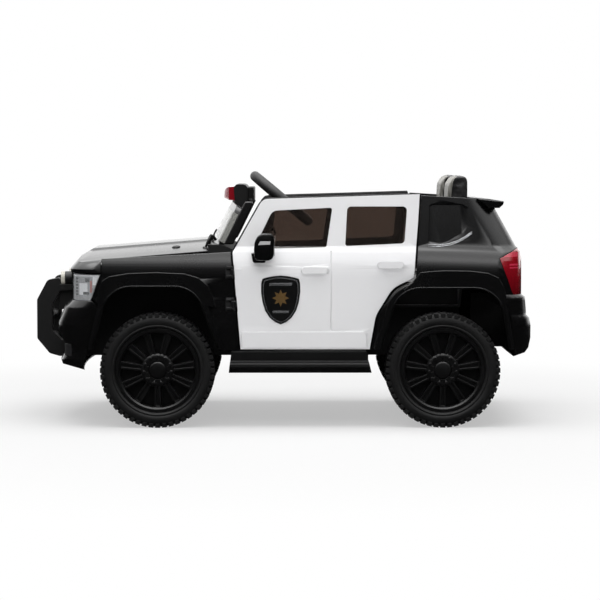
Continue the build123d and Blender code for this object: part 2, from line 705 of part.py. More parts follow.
# inner walls of the wheel wells: the front ones reach up under the hood
well_face = outline(
    (CHASSIS_NOSE + 24, CHASSIS_FLOOR),
    (CHASSIS_NOSE + 24, 380),
    (CHASSIS_NOSE + 70, CREASE_FRONT - 20),
    (TOE_X + 2, CREASE_FRONT - 14),
    (TOE_X + 2, CHASSIS_FLOOR),
)
SEAT_WALL_Y = SEAT_Y + SEAT_HALF + 7
for hand in (-1, 1):
    tub += side(well_face, *sorted((hand * CHASSIS_HALF, hand * (CHASSIS_HALF - FLOOR_WALL))))
    tub += block((BOX_FRONT, BOX_REAR - FLOOR_WALL),
                 sorted((hand * SEAT_WALL_Y, hand * (SEAT_WALL_Y + FLOOR_WALL))), (SEAT_DECK_Z, CUSHION_TOP))
# rails out to the rear bumper
for hand in (-1, 1):
    rail = block((BOX_REAR - 1, TAIL_X), sorted((hand * 110, hand * 140)),
                 (BOX_FLOOR + 20, BOX_FLOOR + 60))
    tub += rail & stacked(REAR_LEVELS, SKIN)
save("chassis_tub", tub)
save("battery", block((REAR_AXLE - 160, REAR_AXLE - 10), (-60, 60),
                      (BOX_FLOOR + FLOOR_WALL, BOX_FLOOR + 101)))

# Bulkhead behind the seats
BULKHEAD_TOP = 600
bulkhead_face = outline(
    (BOX_REAR - FLOOR_WALL, SEAT_DECK_Z + FLOOR_WALL),
    (BOX_REAR, SEAT_DECK_Z + FLOOR_WALL),
    (BOX_REAR + 28, BULKHEAD_TOP),
    (BOX_REAR + 28 - FLOOR_WALL, BULKHEAD_TOP),
)
left_reach = across(side_band(8, HALF_WIDTH), 0, TAIL_X)
bulkhead = side(bulkhead_face, -TUB_HALF, TUB_HALF) & (left_reach + right_hand(left_reach))
save("bulkhead", bulkhead)

# Seats: a bench cushion and two backs with headrests
seat_rear = BOX_REAR - FLOOR_WALL
cushion_face = outline(
    (BOX_FRONT + 12, SEAT_DECK_Z + FLOOR_WALL, 6),
    (BOX_FRONT + 4, CUSHION_TOP - 8, 20),
    (seat_rear - 42, CUSHION_TOP, 6),
    (seat_rear - 36, SEAT_DECK_Z + FLOOR_WALL),
)
back_face = outline(
    (seat_rear - 42, CUSHION_TOP + 1, 6),
    (seat_rear - 20, 600, 30),
    (seat_rear - 16, 677, 14),
    (seat_rear + 28, 677, 14),
    (seat_rear + 27, BULKHEAD_TOP),
    (seat_rear + 5.8, CUSHION_TOP + 1),
)
for name, hand in [("left", -1), ("right", 1)]:
    near, far = hand * SEAT_Y - SEAT_HALF, hand * SEAT_Y + SEAT_HALF
    save(f"seat_cushion_{name}", side(cushion_face, near, far))
    save(f"seat_back_{name}", side(back_face, near, far))

# Dashboard with the column shroud ahead of the driver
DASH_HALF = TUB_HALF - 17
dash_x = TOE_X + FLOOR_WALL
dash_face = outline(
    (dash_x, 390),
    (dash_x, COWL_TOP - 26),
    (dash_x + 4, COWL_TOP + 4),
    (dash_x + 62, 522, 20),
    (dash_x + 106, 505, 16),
    (dash_x + 110, 430, 16),
    (dash_x + 60, 390),
)
dash_space = outline(
    (dash_x, 380),
    (dash_x, COWL_TOP - 32),
    (dash_x + 60, 514, 16),
    (dash_x + 100, 500, 12),
    (dash_x + 104, 434, 12),
    (dash_x + 56, 396),
    (dash_x + 56, 380),
)
dashboard = side(dash_face, -DASH_HALF, DASH_HALF) - side(dash_space, -DASH_HALF + 5, DASH_HALF - 5)
dashboard -= side(cowl_face, -COWL_HALF, COWL_HALF)
SHROUD_HALF = 55
shroud_face = outline(
    (dash_x + 20, 500),
    (dash_x + 66, 598, 14),
    (dash_x + 96, 602, 10),
    (dash_x + 108, 560),
    (dash_x + 96, 500),
)
dashboard += side(shroud_face, -SEAT_Y - SHROUD_HALF, -SEAT_Y + SHROUD_HALF)
WHEEL_TILT = 40             # degrees of the ring's plane from level
tilt = math.radians(WHEEL_TILT)
ring_centre = Vector(dash_x + 126, -SEAT_Y, 608)
to_driver = Vector(math.sin(tilt), 0, math.cos(tilt))
SHAFT_RADIUS = 9
SHAFT_LENGTH = 78
shaft_end = ring_centre - to_driver * SHAFT_LENGTH
dashboard -= rod(tuple(shaft_end - to_driver), tuple(ring_centre), SHAFT_RADIUS + BORE_CLEARANCE)
save("dashboard", dashboard)

ring_radius = (RING_DIAMETER - RING_TUBE) / 2
steering = Torus(ring_radius, RING_TUBE / 2)
steering += Pos(0, 0, -4) * Cylinder(34, 18)
for angle in (0, 90, 180):
    spoke = Pos(ring_radius / 2, 0, -3) * Box(ring_radius, 26, 10)
    steering += Rot(0, 0, angle) * spoke
steering = Plane(ring_centre, x_dir=(0, -1, 0), z_dir=to_driver) * steering
steering += rod(tuple(shaft_end), tuple(ring_centre), SHAFT_RADIUS)
save("steering_wheel", steering)

pedal_plate = outline(
    (TOE_X + 40, FLOOR_Z + FLOOR_WALL),
    (TOE_X + 28, FLOOR_Z + 60, 4),
    (TOE_X + 36, FLOOR_Z + 62, 3),
    (TOE_X + 70, FLOOR_Z + FLOOR_WALL),
)
save("pedal", side(pedal_plate, -SEAT_Y + 40, -SEAT_Y + 90))

# Side steps below the doors
SILL_TOP = DOOR_BOTTOM - PANEL_GAP
SILL_OUT = 6
STEP_Z = 172
sill_section = outline(
    (-TUB_HALF, SILL_TOP),
    (-HALF_WIDTH + lean_at(SILL_TOP), SILL_TOP, 3),
    (-HALF_WIDTH + 14, STEP_Z + 4, 3),
    (-HALF_WIDTH - SILL_OUT, STEP_Z, 4),
    (-HALF_WIDTH - SILL_OUT, STEP_Z - 10, 4),
    (-HALF_WIDTH + 18, FLOOR_Z - 5, 6),
    (-TUB_HALF, FLOOR_Z - 5),
)
sill_space = outline(
    (-TUB_HALF - 4, SILL_TOP - 4),
    (-HALF_WIDTH + lean_at(SILL_TOP) + 5, SILL_TOP - 4),
    (-HALF_WIDTH + 20, STEP_Z),
    (-HALF_WIDTH + 4, STEP_Z - 4),
    (-HALF_WIDTH + 20, FLOOR_Z),
    (-TUB_HALF - 4, FLOOR_Z),
)
SILL_FRONT = FRONT_AXLE + WHEEL_RADIUS + ARCH_GAP
SILL_REAR = REAR_AXLE - WHEEL_RADIUS - ARCH_GAP
sill_face = outline(
    (SILL_FRONT, FLOOR_Z - 6),
    (SILL_FRONT + 8, SILL_TOP + 2),
    (SILL_REAR - 16, SILL_TOP + 2),
    (SILL_REAR, FLOOR_Z - 6),
)
sill = across(sill_section - sill_space, SILL_FRONT, SILL_REAR) & side(sill_face, -2 * HALF_WIDTH, 0)
save("sill_left", sill)
save("sill_right", right_hand(sill))

# Tail lamps wrap the rear corners
LAMP_FRONT = TAIL_X - 94
GATE_INSET = 88             # waist to the tail panel's side
GATE_HALF = HALF_WIDTH - GATE_INSET
LAMP_DEEP = 26


def tail_lamp_face(grow):
    """Tail lamp in side view, grown for the seam round it."""
    return outline(
        (LAMP_FRONT - grow, 450),
        (LAMP_FRONT + 48, 475 + grow),
        (TAIL_X, 478 + grow),
        (TAIL_X, TAIL_LAMP_FOOT),
        (LAMP_FRONT + 36 - grow, TAIL_LAMP_FOOT),
    )


lamp_sides = block((0, TAIL_X), (-HALF_WIDTH, -GATE_HALF - SEAM), (0, ROOF_LINE))
tail_lamp = stacked_shell(GATE_LEVELS, LAMP_DEEP) & side(tail_lamp_face(0), -HALF_WIDTH, 0) & lamp_sides
save("tail_lamps", tail_lamp + right_hand(tail_lamp))

# Rear quarters wrap round to the tail panel; arch flare and a sunk blind window
QUARTER_SKIN = 6
DECK_EDGE = 608             # rear deck's height at its rear edge
quarter_space = outline(
    (BOX_FRONT, DOOR_BOTTOM),
    (BOX_FRONT, 420),
    (DOOR_REAR - 20, 420),
    (DOOR_REAR - 20, ROOF_LINE - 1),
    (REAR_AXLE + 118, DECK_EDGE),
    (REAR_AXLE + 124, TAIL_TOP),
    (TAIL_X, TAIL_TOP),
    (TAIL_X, TAIL_LAMP_FOOT + SEAM),
    (REAR_AXLE + 90, TAIL_LAMP_FOOT + SEAM),
    (REAR_AXLE, 290),
    (REAR_AXLE - 120, DOOR_BOTTOM),
)
blind_window = outline(
    (DOOR_REAR + 28, 490, 6),
    (DOOR_REAR + 32, 594, 8),
    (DOOR_REAR + 130, 594, 16),
    (DOOR_REAR + 132, 526, 30),
    (DOOR_REAR + 74, 490, 40),
)
quarter_face = quarter_space - door_face(PANEL_GAP) - tail_lamp_face(SEAM)
quarter = stacked_shell(TAIL_LEVELS, QUARTER_SKIN) & side(quarter_face, -HALF_WIDTH, -GATE_HALF - SEAM)
quarter -= side_panel(blind_window, -1, QUARTER_SKIN / 2)
quarter -= arch_cut(REAR_ARCH)
quarter += flare(REAR_ARCH, DOOR_BOTTOM)
save("quarter_left", quarter)
save("quarter_right", right_hand(quarter))

# Rear deck with its spoiler lip
DECK_FRONT = BOX_REAR + 22
deck_face = outline(
    (DECK_FRONT, BULKHEAD_TOP),
    (DECK_FRONT, 613),
    (REAR_AXLE + 128, DECK_EDGE),
    (REAR_AXLE + 166, 602, 3),
    (REAR_AXLE + 163, 593, 3),
    (REAR_AXLE + 153, TAIL_TOP),
    (REAR_AXLE + 126, TAIL_TOP),
    (REAR_AXLE + 120, BULKHEAD_TOP),
)
quarter_wall = across(side_band(-60, QUARTER_SKIN), REAR_AXLE, TAIL_X)
rear_deck = side(deck_face, -HALF_WIDTH, HALF_WIDTH)
for wall in (quarter_wall, quarter):
    rear_deck -= wall + right_hand(wall)
save("rear_deck", rear_deck)

# Tail panel: sloped upper half round the rear window, upright lower half between the lamps
GATE_WALL = 6
PANE_IN = 2                 # rear window's face below the panel's
tail_window = outline((-215, 506, 12), (-205, 566, 16), (205, 566, 16), (215, 506, 12))
window_space = across(tail_window, REAR_AXLE, TAIL_X)
gate_space = block((REAR_AXLE, TAIL_X), (-GATE_HALF, GATE_HALF), (0, ROOF_LINE))
tailgate = stacked_shell(GATE_LEVELS, GATE_WALL) & gate_space
save("tailgate", tailgate - window_space)
pane = stacked(GATE_LEVELS, PANE_IN) - stacked(GATE_LEVELS, PANE_IN + GLASS)
save("rear_window", pane & window_space)

# Rear bumper with the closed ends of the rear wheel wells
rear_space = block((REAR_AXLE + 80, TAIL_X), (-HALF_WIDTH, HALF_WIDTH), (FLOOR_Z, TAIL_LAMP_FOOT))
rear_bumper = stacked_shell(REAR_LEVELS, SKIN) & rear_space
rear_bumper -= arch_cut(REAR_ARCH, FLARE_BAND)
WELL_ROOM = 8               # rear tyre to the well's closed end
WELL_WALL = 3
WELL_FRONT = BOX_REAR + 30
well_y = TYRE_INNER_Y - WELL_ROOM
well = side(arch_face(*REAR_ARCH, FLARE_BAND + WELL_WALL), -HALF_WIDTH, -well_y + WELL_WALL)
well -= side(arch_face(*REAR_ARCH, FLARE_BAND), -HALF_WIDTH, -well_y)
well &= block((WELL_FRONT, TAIL_X), (-HALF_WIDTH, 0), (DOOR_BOTTOM, TAIL_LAMP_FOOT))
well &= stacked(REAR_LEVELS, SKIN / 2)
rear_bumper += well + right_hand(well)
save("rear_bumper", rear_bumper)

# Front axle: beam under the chassis with a fork and kingpin at each end
FORK_ROOM = 16              # half height of the fork's jaws
FORK_ARM = 12
FORK_END = KINGPIN_Y + 12
FORK_WEB = KINGPIN_Y - 24
front_axle = block((FRONT_AXLE - 14, FRONT_AXLE + 14), (-FORK_END, FORK_END),
                   (AXLE_Z + FORK_ROOM, AXLE_Z + FORK_ROOM + FORK_ARM))
for hand in (-1, 1):
    web = block((FRONT_AXLE - 14, FRONT_AXLE + 14), sorted((hand * (FORK_WEB - 10), hand * FORK_WEB)),
                (AXLE_Z - FORK_ROOM - FORK_ARM, AXLE_Z + FORK_ROOM))
    lower = block((FRONT_AXLE - 14, FRONT_AXLE + 14), sorted((hand * (FORK_WEB - 10), hand * FORK_END)),
                  (AXLE_Z - FORK_ROOM - FORK_ARM, AXLE_Z - FORK_ROOM))
    pin = Pos(FRONT_AXLE, hand * KINGPIN_Y, AXLE_Z) * Cylinder(KINGPIN_RADIUS, 2 * FORK_ROOM)
    front_axle += web + lower + pin
save("front_axle", front_axle)

# Knuckles: sleeve on the kingpin, stub axle outward, steering arm rearward
STUB_END = WHEEL_Y + RIM_WIDTH / 2 - DISH - 12
ARM_REACH = 62
ARM_Y = KINGPIN_Y           # parallel arms keep the tie rod on both pins
PIN_RADIUS = 4
for name, hand in [("left", -1), ("right", 1)]:
    knuckle = Pos(FRONT_AXLE, hand * KINGPIN_Y, AXLE_Z) * Cylinder(13, 2 * FORK_ROOM - 1)
    knuckle += rod((FRONT_AXLE, hand * (KINGPIN_Y + 4), AXLE_Z), (FRONT_AXLE, hand * STUB_END, AXLE_Z),
                   AXLE_RADIUS)
    knuckle += block((FRONT_AXLE, FRONT_AXLE + ARM_REACH + 8),
                     sorted((hand * (ARM_Y - 7), hand * (ARM_Y + 7))), (AXLE_Z - 5, AXLE_Z + 5))
    knuckle += Pos(FRONT_AXLE + ARM_REACH, hand * ARM_Y, AXLE_Z + 8) * Cylinder(PIN_RADIUS, 16)
    bore = Cylinder(KINGPIN_RADIUS + BORE_CLEARANCE, 4 * FORK_ROOM)
    knuckle -= Pos(FRONT_AXLE, hand * KINGPIN_Y, AXLE_Z) * bore
    save(f"knuckle_{name}", knuckle)
ROD_Z = AXLE_Z + 10
tie_rod = rod((FRONT_AXLE + ARM_REACH, -ARM_Y, ROD_Z), (FRONT_AXLE + ARM_REACH, ARM_Y, ROD_Z), 4)
for hand in (-1, 1):
    tie_rod += Pos(FRONT_AXLE + ARM_REACH, hand * ARM_Y, ROD_Z) * Cylinder(9, 9)
for hand in (-1, 1):
    tie_rod -= Pos(FRONT_AXLE + ARM_REACH, hand * ARM_Y, ROD_Z) * Cylinder(PIN_RADIUS + BORE_CLEARANCE, 20)
save("tie_rod", tie_rod)

# Rear axle with a gear motor beside each wheel
rear_axle = rod((REAR_AXLE, -STUB_END, AXLE_Z), (REAR_AXLE, STUB_END, AXLE_Z), AXLE_RADIUS)
for hand in (-1, 1):
    case_face = outline((REAR_AXLE - 62, AXLE_Z - 20, 14), (REAR_AXLE - 62, BOX_FLOOR),
                        (REAR_AXLE + 34, BOX_FLOOR), (REAR_AXLE + 34, AXLE_Z - 34, 20),
                        (REAR_AXLE - 10, AXLE_Z - 36, 20))
    rear_axle += side(case_face, hand * (BOX_HALF - 44), hand * (BOX_HALF + 8))
save("rear_axle", rear_axle)

# Wheels: deep rim with tapered spokes, and a tyre; drawn on the left, outer side at -Y
rim_profile = outline(
    (RIM_RADIUS - 12, -RIM_WIDTH / 2 + 4),
    (RIM_RADIUS - 8, -RIM_WIDTH / 2),
    (RIM_RADIUS, -RIM_WIDTH / 2),
    (RIM_RADIUS, RIM_WIDTH / 2),
    (RIM_RADIUS - RIM_WALL, RIM_WIDTH / 2),
    (RIM_RADIUS - RIM_WALL - 2, -RIM_WIDTH / 2 + 20),
    (RIM_RADIUS - 14, -RIM_WIDTH / 2 + 18),
)
rim = revolve(Plane.XY * rim_profile, Axis.Y)
hub_face_y = -RIM_WIDTH / 2 + DISH
hub_profile = outline(
    (AXLE_RADIUS + BORE_CLEARANCE, hub_face_y + 10),
    (HUB_RADIUS, hub_face_y + 2),
    (HUB_RADIUS + 16, hub_face_y + 4, 3),
    (HUB_RADIUS + 16, hub_face_y + 24),
    (HUB_RADIUS - 6, RIM_WIDTH / 2),
    (AXLE_RADIUS + BORE_CLEARANCE, RIM_WIDTH / 2),
)
rim += revolve(Plane.XY * hub_profile, Axis.Y)
cap_profile = outline(
    (0, hub_face_y - 6),
    (HUB_RADIUS - 2, hub_face_y - 6, 4),
    (HUB_RADIUS - 2, hub_face_y + 10),
    (0, hub_face_y + 10),
)
rim += revolve(Plane.XY * cap_profile, Axis.Y)
# web closing the pockets between the spokes
WEB_IN = 14                 # web behind the hub's face
WEB_WALL = 4
web_profile = outline(
    (HUB_RADIUS, hub_face_y + WEB_IN),
    (RIM_RADIUS - 6, hub_face_y + WEB_IN),
    (RIM_RADIUS - 6, hub_face_y + WEB_IN + WEB_WALL),
    (HUB_RADIUS, hub_face_y + WEB_IN + WEB_WALL),
)
rim += revolve(Plane.XY * web_profile, Axis.Y)
# spokes: a bar with a groove along its face
SPOKE_IN = 6                # spokes below the rim's face
GROOVE_DEEP = 4
spoke_face = outline((HUB_RADIUS, -7), (HUB_RADIUS, 7), (RIM_RADIUS - 8, 10), (RIM_RADIUS - 8, -10))
groove_face = outline((HUB_RADIUS + 18, -2.5), (HUB_RADIUS + 18, 2.5),
                      (RIM_RADIUS - 16, 5), (RIM_RADIUS - 16, -5))
spoke = side(spoke_face, -RIM_WIDTH / 2 + SPOKE_IN, hub_face_y + WEB_IN + 1)
spoke -= side(groove_face, -RIM_WIDTH / 2, -RIM_WIDTH / 2 + SPOKE_IN + GROOVE_DEEP)
spoke_ring = Part()
for index in range(SPOKES):
    spoke_ring += Rot(0, 90 + 360 / SPOKES * index, 0) * spoke
rim += spoke_ring

tyre_profile = outline(
    (RIM_RADIUS, -RIM_WIDTH / 2 + 2),
    (RIM_RADIUS + 6, -TYRE_WIDTH / 2),
    (WHEEL_RADIUS - 14, -TYRE_WIDTH / 2, 8),
    (WHEEL_RADIUS, -TYRE_WIDTH / 2 + 14, 8),
    (WHEEL_RADIUS, TYRE_WIDTH / 2 - 14, 8),
    (WHEEL_RADIUS - 14, TYRE_WIDTH / 2, 8),
    (RIM_RADIUS + 6, TYRE_WIDTH / 2),
    (RIM_RADIUS, RIM_WIDTH / 2 - 2),
)
tyre = revolve(Plane.XY * tyre_profile, Axis.Y)
# corner, axle station, hand
for corner, axle, hand in [("front_left", FRONT_AXLE, -1), ("front_right", FRONT_AXLE, 1),
                           ("rear_left", REAR_AXLE, -1), ("rear_right", REAR_AXLE, 1)]:
    turn = Rot(0, 0, 0 if hand < 0 else 180)
    place = Pos(axle, hand * WHEEL_Y, AXLE_Z) * turn
    save(f"rim_{corner}", place * rim)
    save(f"tyre_{corner}", place * tyre)
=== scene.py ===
import bmesh
import bpy
import math
from mathutils import Matrix, Vector
from mathutils.bvhtree import BVHTree


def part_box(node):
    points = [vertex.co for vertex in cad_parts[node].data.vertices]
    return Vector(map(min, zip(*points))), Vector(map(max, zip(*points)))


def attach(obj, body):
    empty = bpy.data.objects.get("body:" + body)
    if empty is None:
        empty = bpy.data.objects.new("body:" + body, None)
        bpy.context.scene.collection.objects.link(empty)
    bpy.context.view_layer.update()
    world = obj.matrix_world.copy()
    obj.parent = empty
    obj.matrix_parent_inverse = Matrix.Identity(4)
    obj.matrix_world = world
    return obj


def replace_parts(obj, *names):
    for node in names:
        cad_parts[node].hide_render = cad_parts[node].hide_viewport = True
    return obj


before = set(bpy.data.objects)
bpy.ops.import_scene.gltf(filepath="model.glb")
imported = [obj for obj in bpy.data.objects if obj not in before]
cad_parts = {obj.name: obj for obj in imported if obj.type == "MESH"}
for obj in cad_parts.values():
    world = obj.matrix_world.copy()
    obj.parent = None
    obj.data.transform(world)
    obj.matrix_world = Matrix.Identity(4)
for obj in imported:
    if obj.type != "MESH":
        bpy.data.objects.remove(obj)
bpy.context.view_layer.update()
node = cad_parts
scene = bpy.context.scene


# Studio: a white sweep that the camera and the panes see as plain white, a broad softbox overhead
# and a long one in front, which draw the highlights along the black panels.
class Shade:
    """A shader socket: operators add Math nodes, and node() adds any other node."""

    def __init__(self, tree, socket=None):
        self.tree = tree
        self.socket = socket

    def node(self, kind, settings, inputs, output=0):
        made = self.tree.nodes.new("ShaderNode" + kind)
        for name, value in settings.items():
            if name == "stops":
                ramp = made.color_ramp
                while len(ramp.elements) < len(value):
                    ramp.elements.new(1.0)
                for element, (position, colour) in zip(ramp.elements, value):
                    element.position = position
                    element.color = colour
            else:
                setattr(made, name, value)
        for name, value in inputs.items():
            if isinstance(value, Shade):
                self.tree.links.new(value.socket, made.inputs[name])
            else:
                made.inputs[name].default_value = value
        return Shade(self.tree, made.outputs[output])

    def out(self, name):
        return Shade(self.tree, self.socket.node.outputs[name])

    def math(self, operation, first, second):
        return self.node("Math", {"operation": operation}, {0: first, 1: second})

    def mix(self, factor, first, second):
        """Colour between two colours."""
        return self.node("Mix", {"data_type": "RGBA"}, {0: factor, 6: first, 7: second}, 2)

    def climb(self, low, high, first, last):
        """Smooth climb from first to last while this value goes from low to high."""
        return self.node("MapRange", {"interpolation_type": "SMOOTHSTEP"},
                         {"Value": self, "From Min": low, "From Max": high, "To Min": first, "To Max": last})

    def __add__(self, other):
        return self.math("ADD", self, other)

    __radd__ = __add__

    def __sub__(self, other):
        return self.math("SUBTRACT", self, other)

    def __rsub__(self, other):
        return self.math("SUBTRACT", other, self)

    def __mul__(self, other):
        return self.math("MULTIPLY", self, other)

    __rmul__ = __mul__

    def __truediv__(self, other):
        return self.math("DIVIDE", self, other)

    def __gt__(self, other):
        return self.math("GREATER_THAN", self, other)

    def __lt__(self, other):
        return self.math("LESS_THAN", self, other)


WHITE = (1, 1, 1, 1)
world = bpy.data.worlds.new("studio")
scene.world = world
world.use_nodes = True
sky = Shade(world.node_tree)
ray = sky.node("LightPath", {}, {}, "Is Camera Ray")
seen = sky.math("MAXIMUM", ray, ray.out("Is Transmission Ray"))
heading = sky.node("TexCoord", {}, {}, "Generated")
height = sky.node("SeparateXYZ", {}, {"Vector": heading}, "Z")
low_dome = height.climb(0.37, 0.56, 0.010, 1.8)
zenith = height.climb(0.70, 0.95, 0.0, 1.9)
backdrop = height.out("Y").climb(0.35, 0.85, 0.0, 1.75)
ROOM_LIGHT = 0.30           # strength of the plain light on matt surfaces
mirrored_ray = ray.out("Is Glossy Ray")
gloss = sky.math("MAXIMUM", low_dome + zenith, backdrop)
strength = seen + (1 - seen) * (mirrored_ray * gloss + (1 - mirrored_ray) * ROOM_LIGHT)
background = world.node_tree.nodes["Background"]
background.inputs["Color"].default_value = WHITE
world.node_tree.links.new(strength.socket, background.inputs["Strength"])

FLOOR_HALF = 30.0
floor_mesh = bpy.data.meshes.new("floor")
floor_mesh.from_pydata([(-FLOOR_HALF, -FLOOR_HALF, 0), (FLOOR_HALF, -FLOOR_HALF, 0),
                        (FLOOR_HALF, FLOOR_HALF, 0), (-FLOOR_HALF, FLOOR_HALF, 0)], [], [(0, 1, 2, 3)])
floor = bpy.data.objects.new("floor", floor_mesh)
scene.collection.objects.link(floor)
sweep = bpy.data.materials.new("white_sweep")
sweep.use_nodes = True
paper = Shade(sweep.node_tree)
paper_ray = paper.node("LightPath", {}, {}, "Is Camera Ray")
paper_seen = paper.math("MAXIMUM", paper_ray, paper_ray.out("Is Transmission Ray"))
glow = paper.node("Emission", {}, {"Color": WHITE, "Strength": 1.0})
matt = paper.node("BsdfDiffuse", {}, {"Color": (0.9, 0.9, 0.9, 1)})
dull = paper.node("BsdfDiffuse", {}, {"Color": (0.015, 0.015, 0.015, 1)})
sheet = paper.node("MixShader", {}, {0: paper_ray.out("Is Glossy Ray"), 1: matt, 2: dull})
spot = paper.node("TexCoord", {}, {}, "Object")
reach = paper.node("VectorMath", {"operation": "LENGTH"}, {0: spot}, "Value")
share = reach.climb(0.8, 2.0, 0.45, 1.0)
lit = paper.node("MixShader", {}, {0: paper_seen * share, 1: sheet, 2: glow})
sweep.node_tree.links.new(lit.socket, sweep.node_tree.nodes["Material Output"].inputs["Surface"])
floor_mesh.materials.append(sweep)


def softbox(name, place, aim, width, depth, watts, in_gloss):
    """A flat lamp aimed at a point; one left out of the gloss only fills."""
    lamp = bpy.data.lights.new(name, "AREA")
    lamp.shape = "RECTANGLE"
    lamp.size = width
    lamp.size_y = depth
    lamp.energy = watts
    thing = bpy.data.objects.new(name, lamp)
    thing.location = place
    thing.rotation_euler = (Vector(aim) - Vector(place)).to_track_quat("-Z", "Y").to_euler()
    thing.visible_camera = False
    thing.visible_glossy = in_gloss
    scene.collection.objects.link(thing)


CAR_MIDDLE = (0, 0, 0.35)
softbox("overhead", (0, -0.4, 3.4), CAR_MIDDLE, 4.0, 3.0, 104, True)
softbox("front_strip", (-0.6, -4.2, 3.6), CAR_MIDDLE, 4.5, 0.6, 30, True)
softbox("front_fill", (-0.3, -5.5, 1.6), CAR_MIDDLE, 3.0, 2.0, 25, False)
softbox("back_fill", (0.0, 5.5, 2.0), CAR_MIDDLE, 3.0, 2.0, 40, False)

CAMERA_PLACE = (0.011, -6.36, 0.70)
CAMERA_AIM = (0.050, 0, 0.320)
camera_data = bpy.data.cameras.new("camera")
camera_data.sensor_width = 36
camera_data.lens = 136
camera_data.clip_end = 100
camera = bpy.data.objects.new("camera", camera_data)
camera.location = CAMERA_PLACE
camera.rotation_euler = (Vector(CAMERA_AIM) - Vector(CAMERA_PLACE)).to_track_quat("-Z", "Y").to_euler()
scene.collection.objects.link(camera)
scene.camera = camera
scene.view_settings.view_transform = "Standard"


# Floor tub, bulkhead, dashboard, cowl and steps: matt black blow-moulded plastic with a fine cast
# grain. The tub is one moulding; the rest is screwed to it.
def finish(name, build):
    """A Principled material; build returns its inputs, by socket name, from a start Shade."""
    material = bpy.data.materials.new(name)
    material.use_nodes = True
    surface = material.node_tree.nodes["Principled BSDF"]
    for socket, value in build(Shade(material.node_tree)).items():
        if isinstance(value, Shade):
            material.node_tree.links.new(value.socket, surface.inputs[socket])
        else:
            surface.inputs[socket].default_value = value
    return material


def noise(start, scale, detail):
    """Cloudy values about a half, on the piece's own coordinates."""
    place = start.node("TexCoord", {}, {}, "Object")
    return start.node("TexNoise", {}, {"Vector": place, "Scale": scale, "Detail": detail}, "Fac")


def eased(start, height, strength, distance, edge):
    """Bump over edges eased by a small moulding radius."""
    rounded = start.node("Bevel", {"samples": 6}, {"Radius": edge})
    return start.node("Bump", {}, {"Strength": strength, "Distance": distance,
                                   "Height": height, "Normal": rounded})


def dress(material, *names):
    """Gives CAD nodes a material."""
    for name in names:
        slots = node[name].data.materials
        slots.clear()
        slots.append(material)


def grained_black(start):
    grain = noise(start, 900, 3)
    cloud = noise(start, 9, 4)
    return {
        "Base Color": start.mix(cloud, (0.0045, 0.0045, 0.0047, 1), (0.0085, 0.0085, 0.0088, 1)),
        "Roughness": 0.48 + cloud * 0.12,
        "Specular IOR Level": 0.35,
        "Normal": eased(start, grain, 0.25, 0.0004, 0.0016),
    }


matt_black = finish("matt_black_plastic", grained_black)
dress(matt_black, "chassis_tub", "bulkhead", "cowl", "dashboard", "pedal", "battery",
      "sill_left", "sill_right", "door_lining_left", "door_lining_right", "steering_wheel",
      "beacon_housing", "grille", "bull_bar")


# Axles, knuckles and tie rod: bent and welded steel, painted black, its tone and gloss faintly
# clouded.
def painted_steel(start):
    cloud = noise(start, 40, 5)
    return {
        "Base Color": start.mix(cloud, (0.016, 0.016, 0.017, 1), (0.05, 0.05, 0.052, 1)),
        "Roughness": 0.30 + cloud * 0.25,
        "Metallic": 0.6,
        "Normal": eased(start, cloud, 0.15, 0.0005, 0.0010),
    }


dress(finish("black_painted_steel", painted_steel), "front_axle", "rear_axle", "knuckle_left", "knuckle_right",
      "tie_rod")


# Wheels: a foamed rubber tyre with block lugs on both shoulders and a plain sidewall, pressed on a
# one-piece black plastic rim with eleven spokes.
def lathe(profile, steps):
    """Closed ring about the Y axis from a closed outline of (radius, y)."""
    mesh = bpy.data.meshes.new("ring")
    points = []
    for step in range(steps):
        turn = 2 * math.pi * step / steps
        points += [(radius * math.sin(turn), y, radius * math.cos(turn)) for radius, y in profile]
    count = len(profile)
    faces = []
    for step in range(steps):
        here, there = step * count, (step + 1) % steps * count
        for i in range(count):
            j = (i + 1) % count
            faces.append((here + i, there + i, there + j, here + j))
    mesh.from_pydata(points, [], faces)
    mesh.shade_smooth()
    outward(mesh)
    return mesh


def outward(mesh):
    """Turns every face of a closed mesh to the outside."""
    work = bmesh.new()
    work.from_mesh(mesh)
    bmesh.ops.remove_doubles(work, verts=work.verts, dist=1e-6)
    bmesh.ops.recalc_face_normals(work, faces=work.faces)
    work.to_mesh(mesh)
    work.free()


def new_tree(name, inputs):
    """A Geometry Nodes tree with named inputs of these kinds, and its input node."""
    tree = bpy.data.node_groups.new(name, "GeometryNodeTree")
    for label, kind in inputs.items():
        tree.interface.new_socket(label, in_out="INPUT", socket_type="NodeSocket" + kind)
    tree.interface.new_socket("Planted", in_out="OUTPUT", socket_type="NodeSocketGeometry")
    return tree, tree.nodes.new("NodeGroupInput")


def plant(tree, source, points, copy, rotation):
    """Ends a tree: a copy on each point, turned, made real and given the tree's Finish."""
    place = tree.nodes.new("GeometryNodeInstanceOnPoints")
    real = tree.nodes.new("GeometryNodeRealizeInstances")
    paint = tree.nodes.new("GeometryNodeSetMaterial")
    result = tree.nodes.new("NodeGroupOutput")
    link = tree.links.new
    link(points, place.inputs["Points"])
    link(copy, place.inputs["Instance"])
    link(rotation, place.inputs["Rotation"])
    link(place.outputs[0], real.inputs[0])
    link(real.outputs[0], paint.inputs["Geometry"])
    link(source.outputs["Finish"], paint.inputs["Material"])
    link(paint.outputs[0], result.inputs["Planted"])


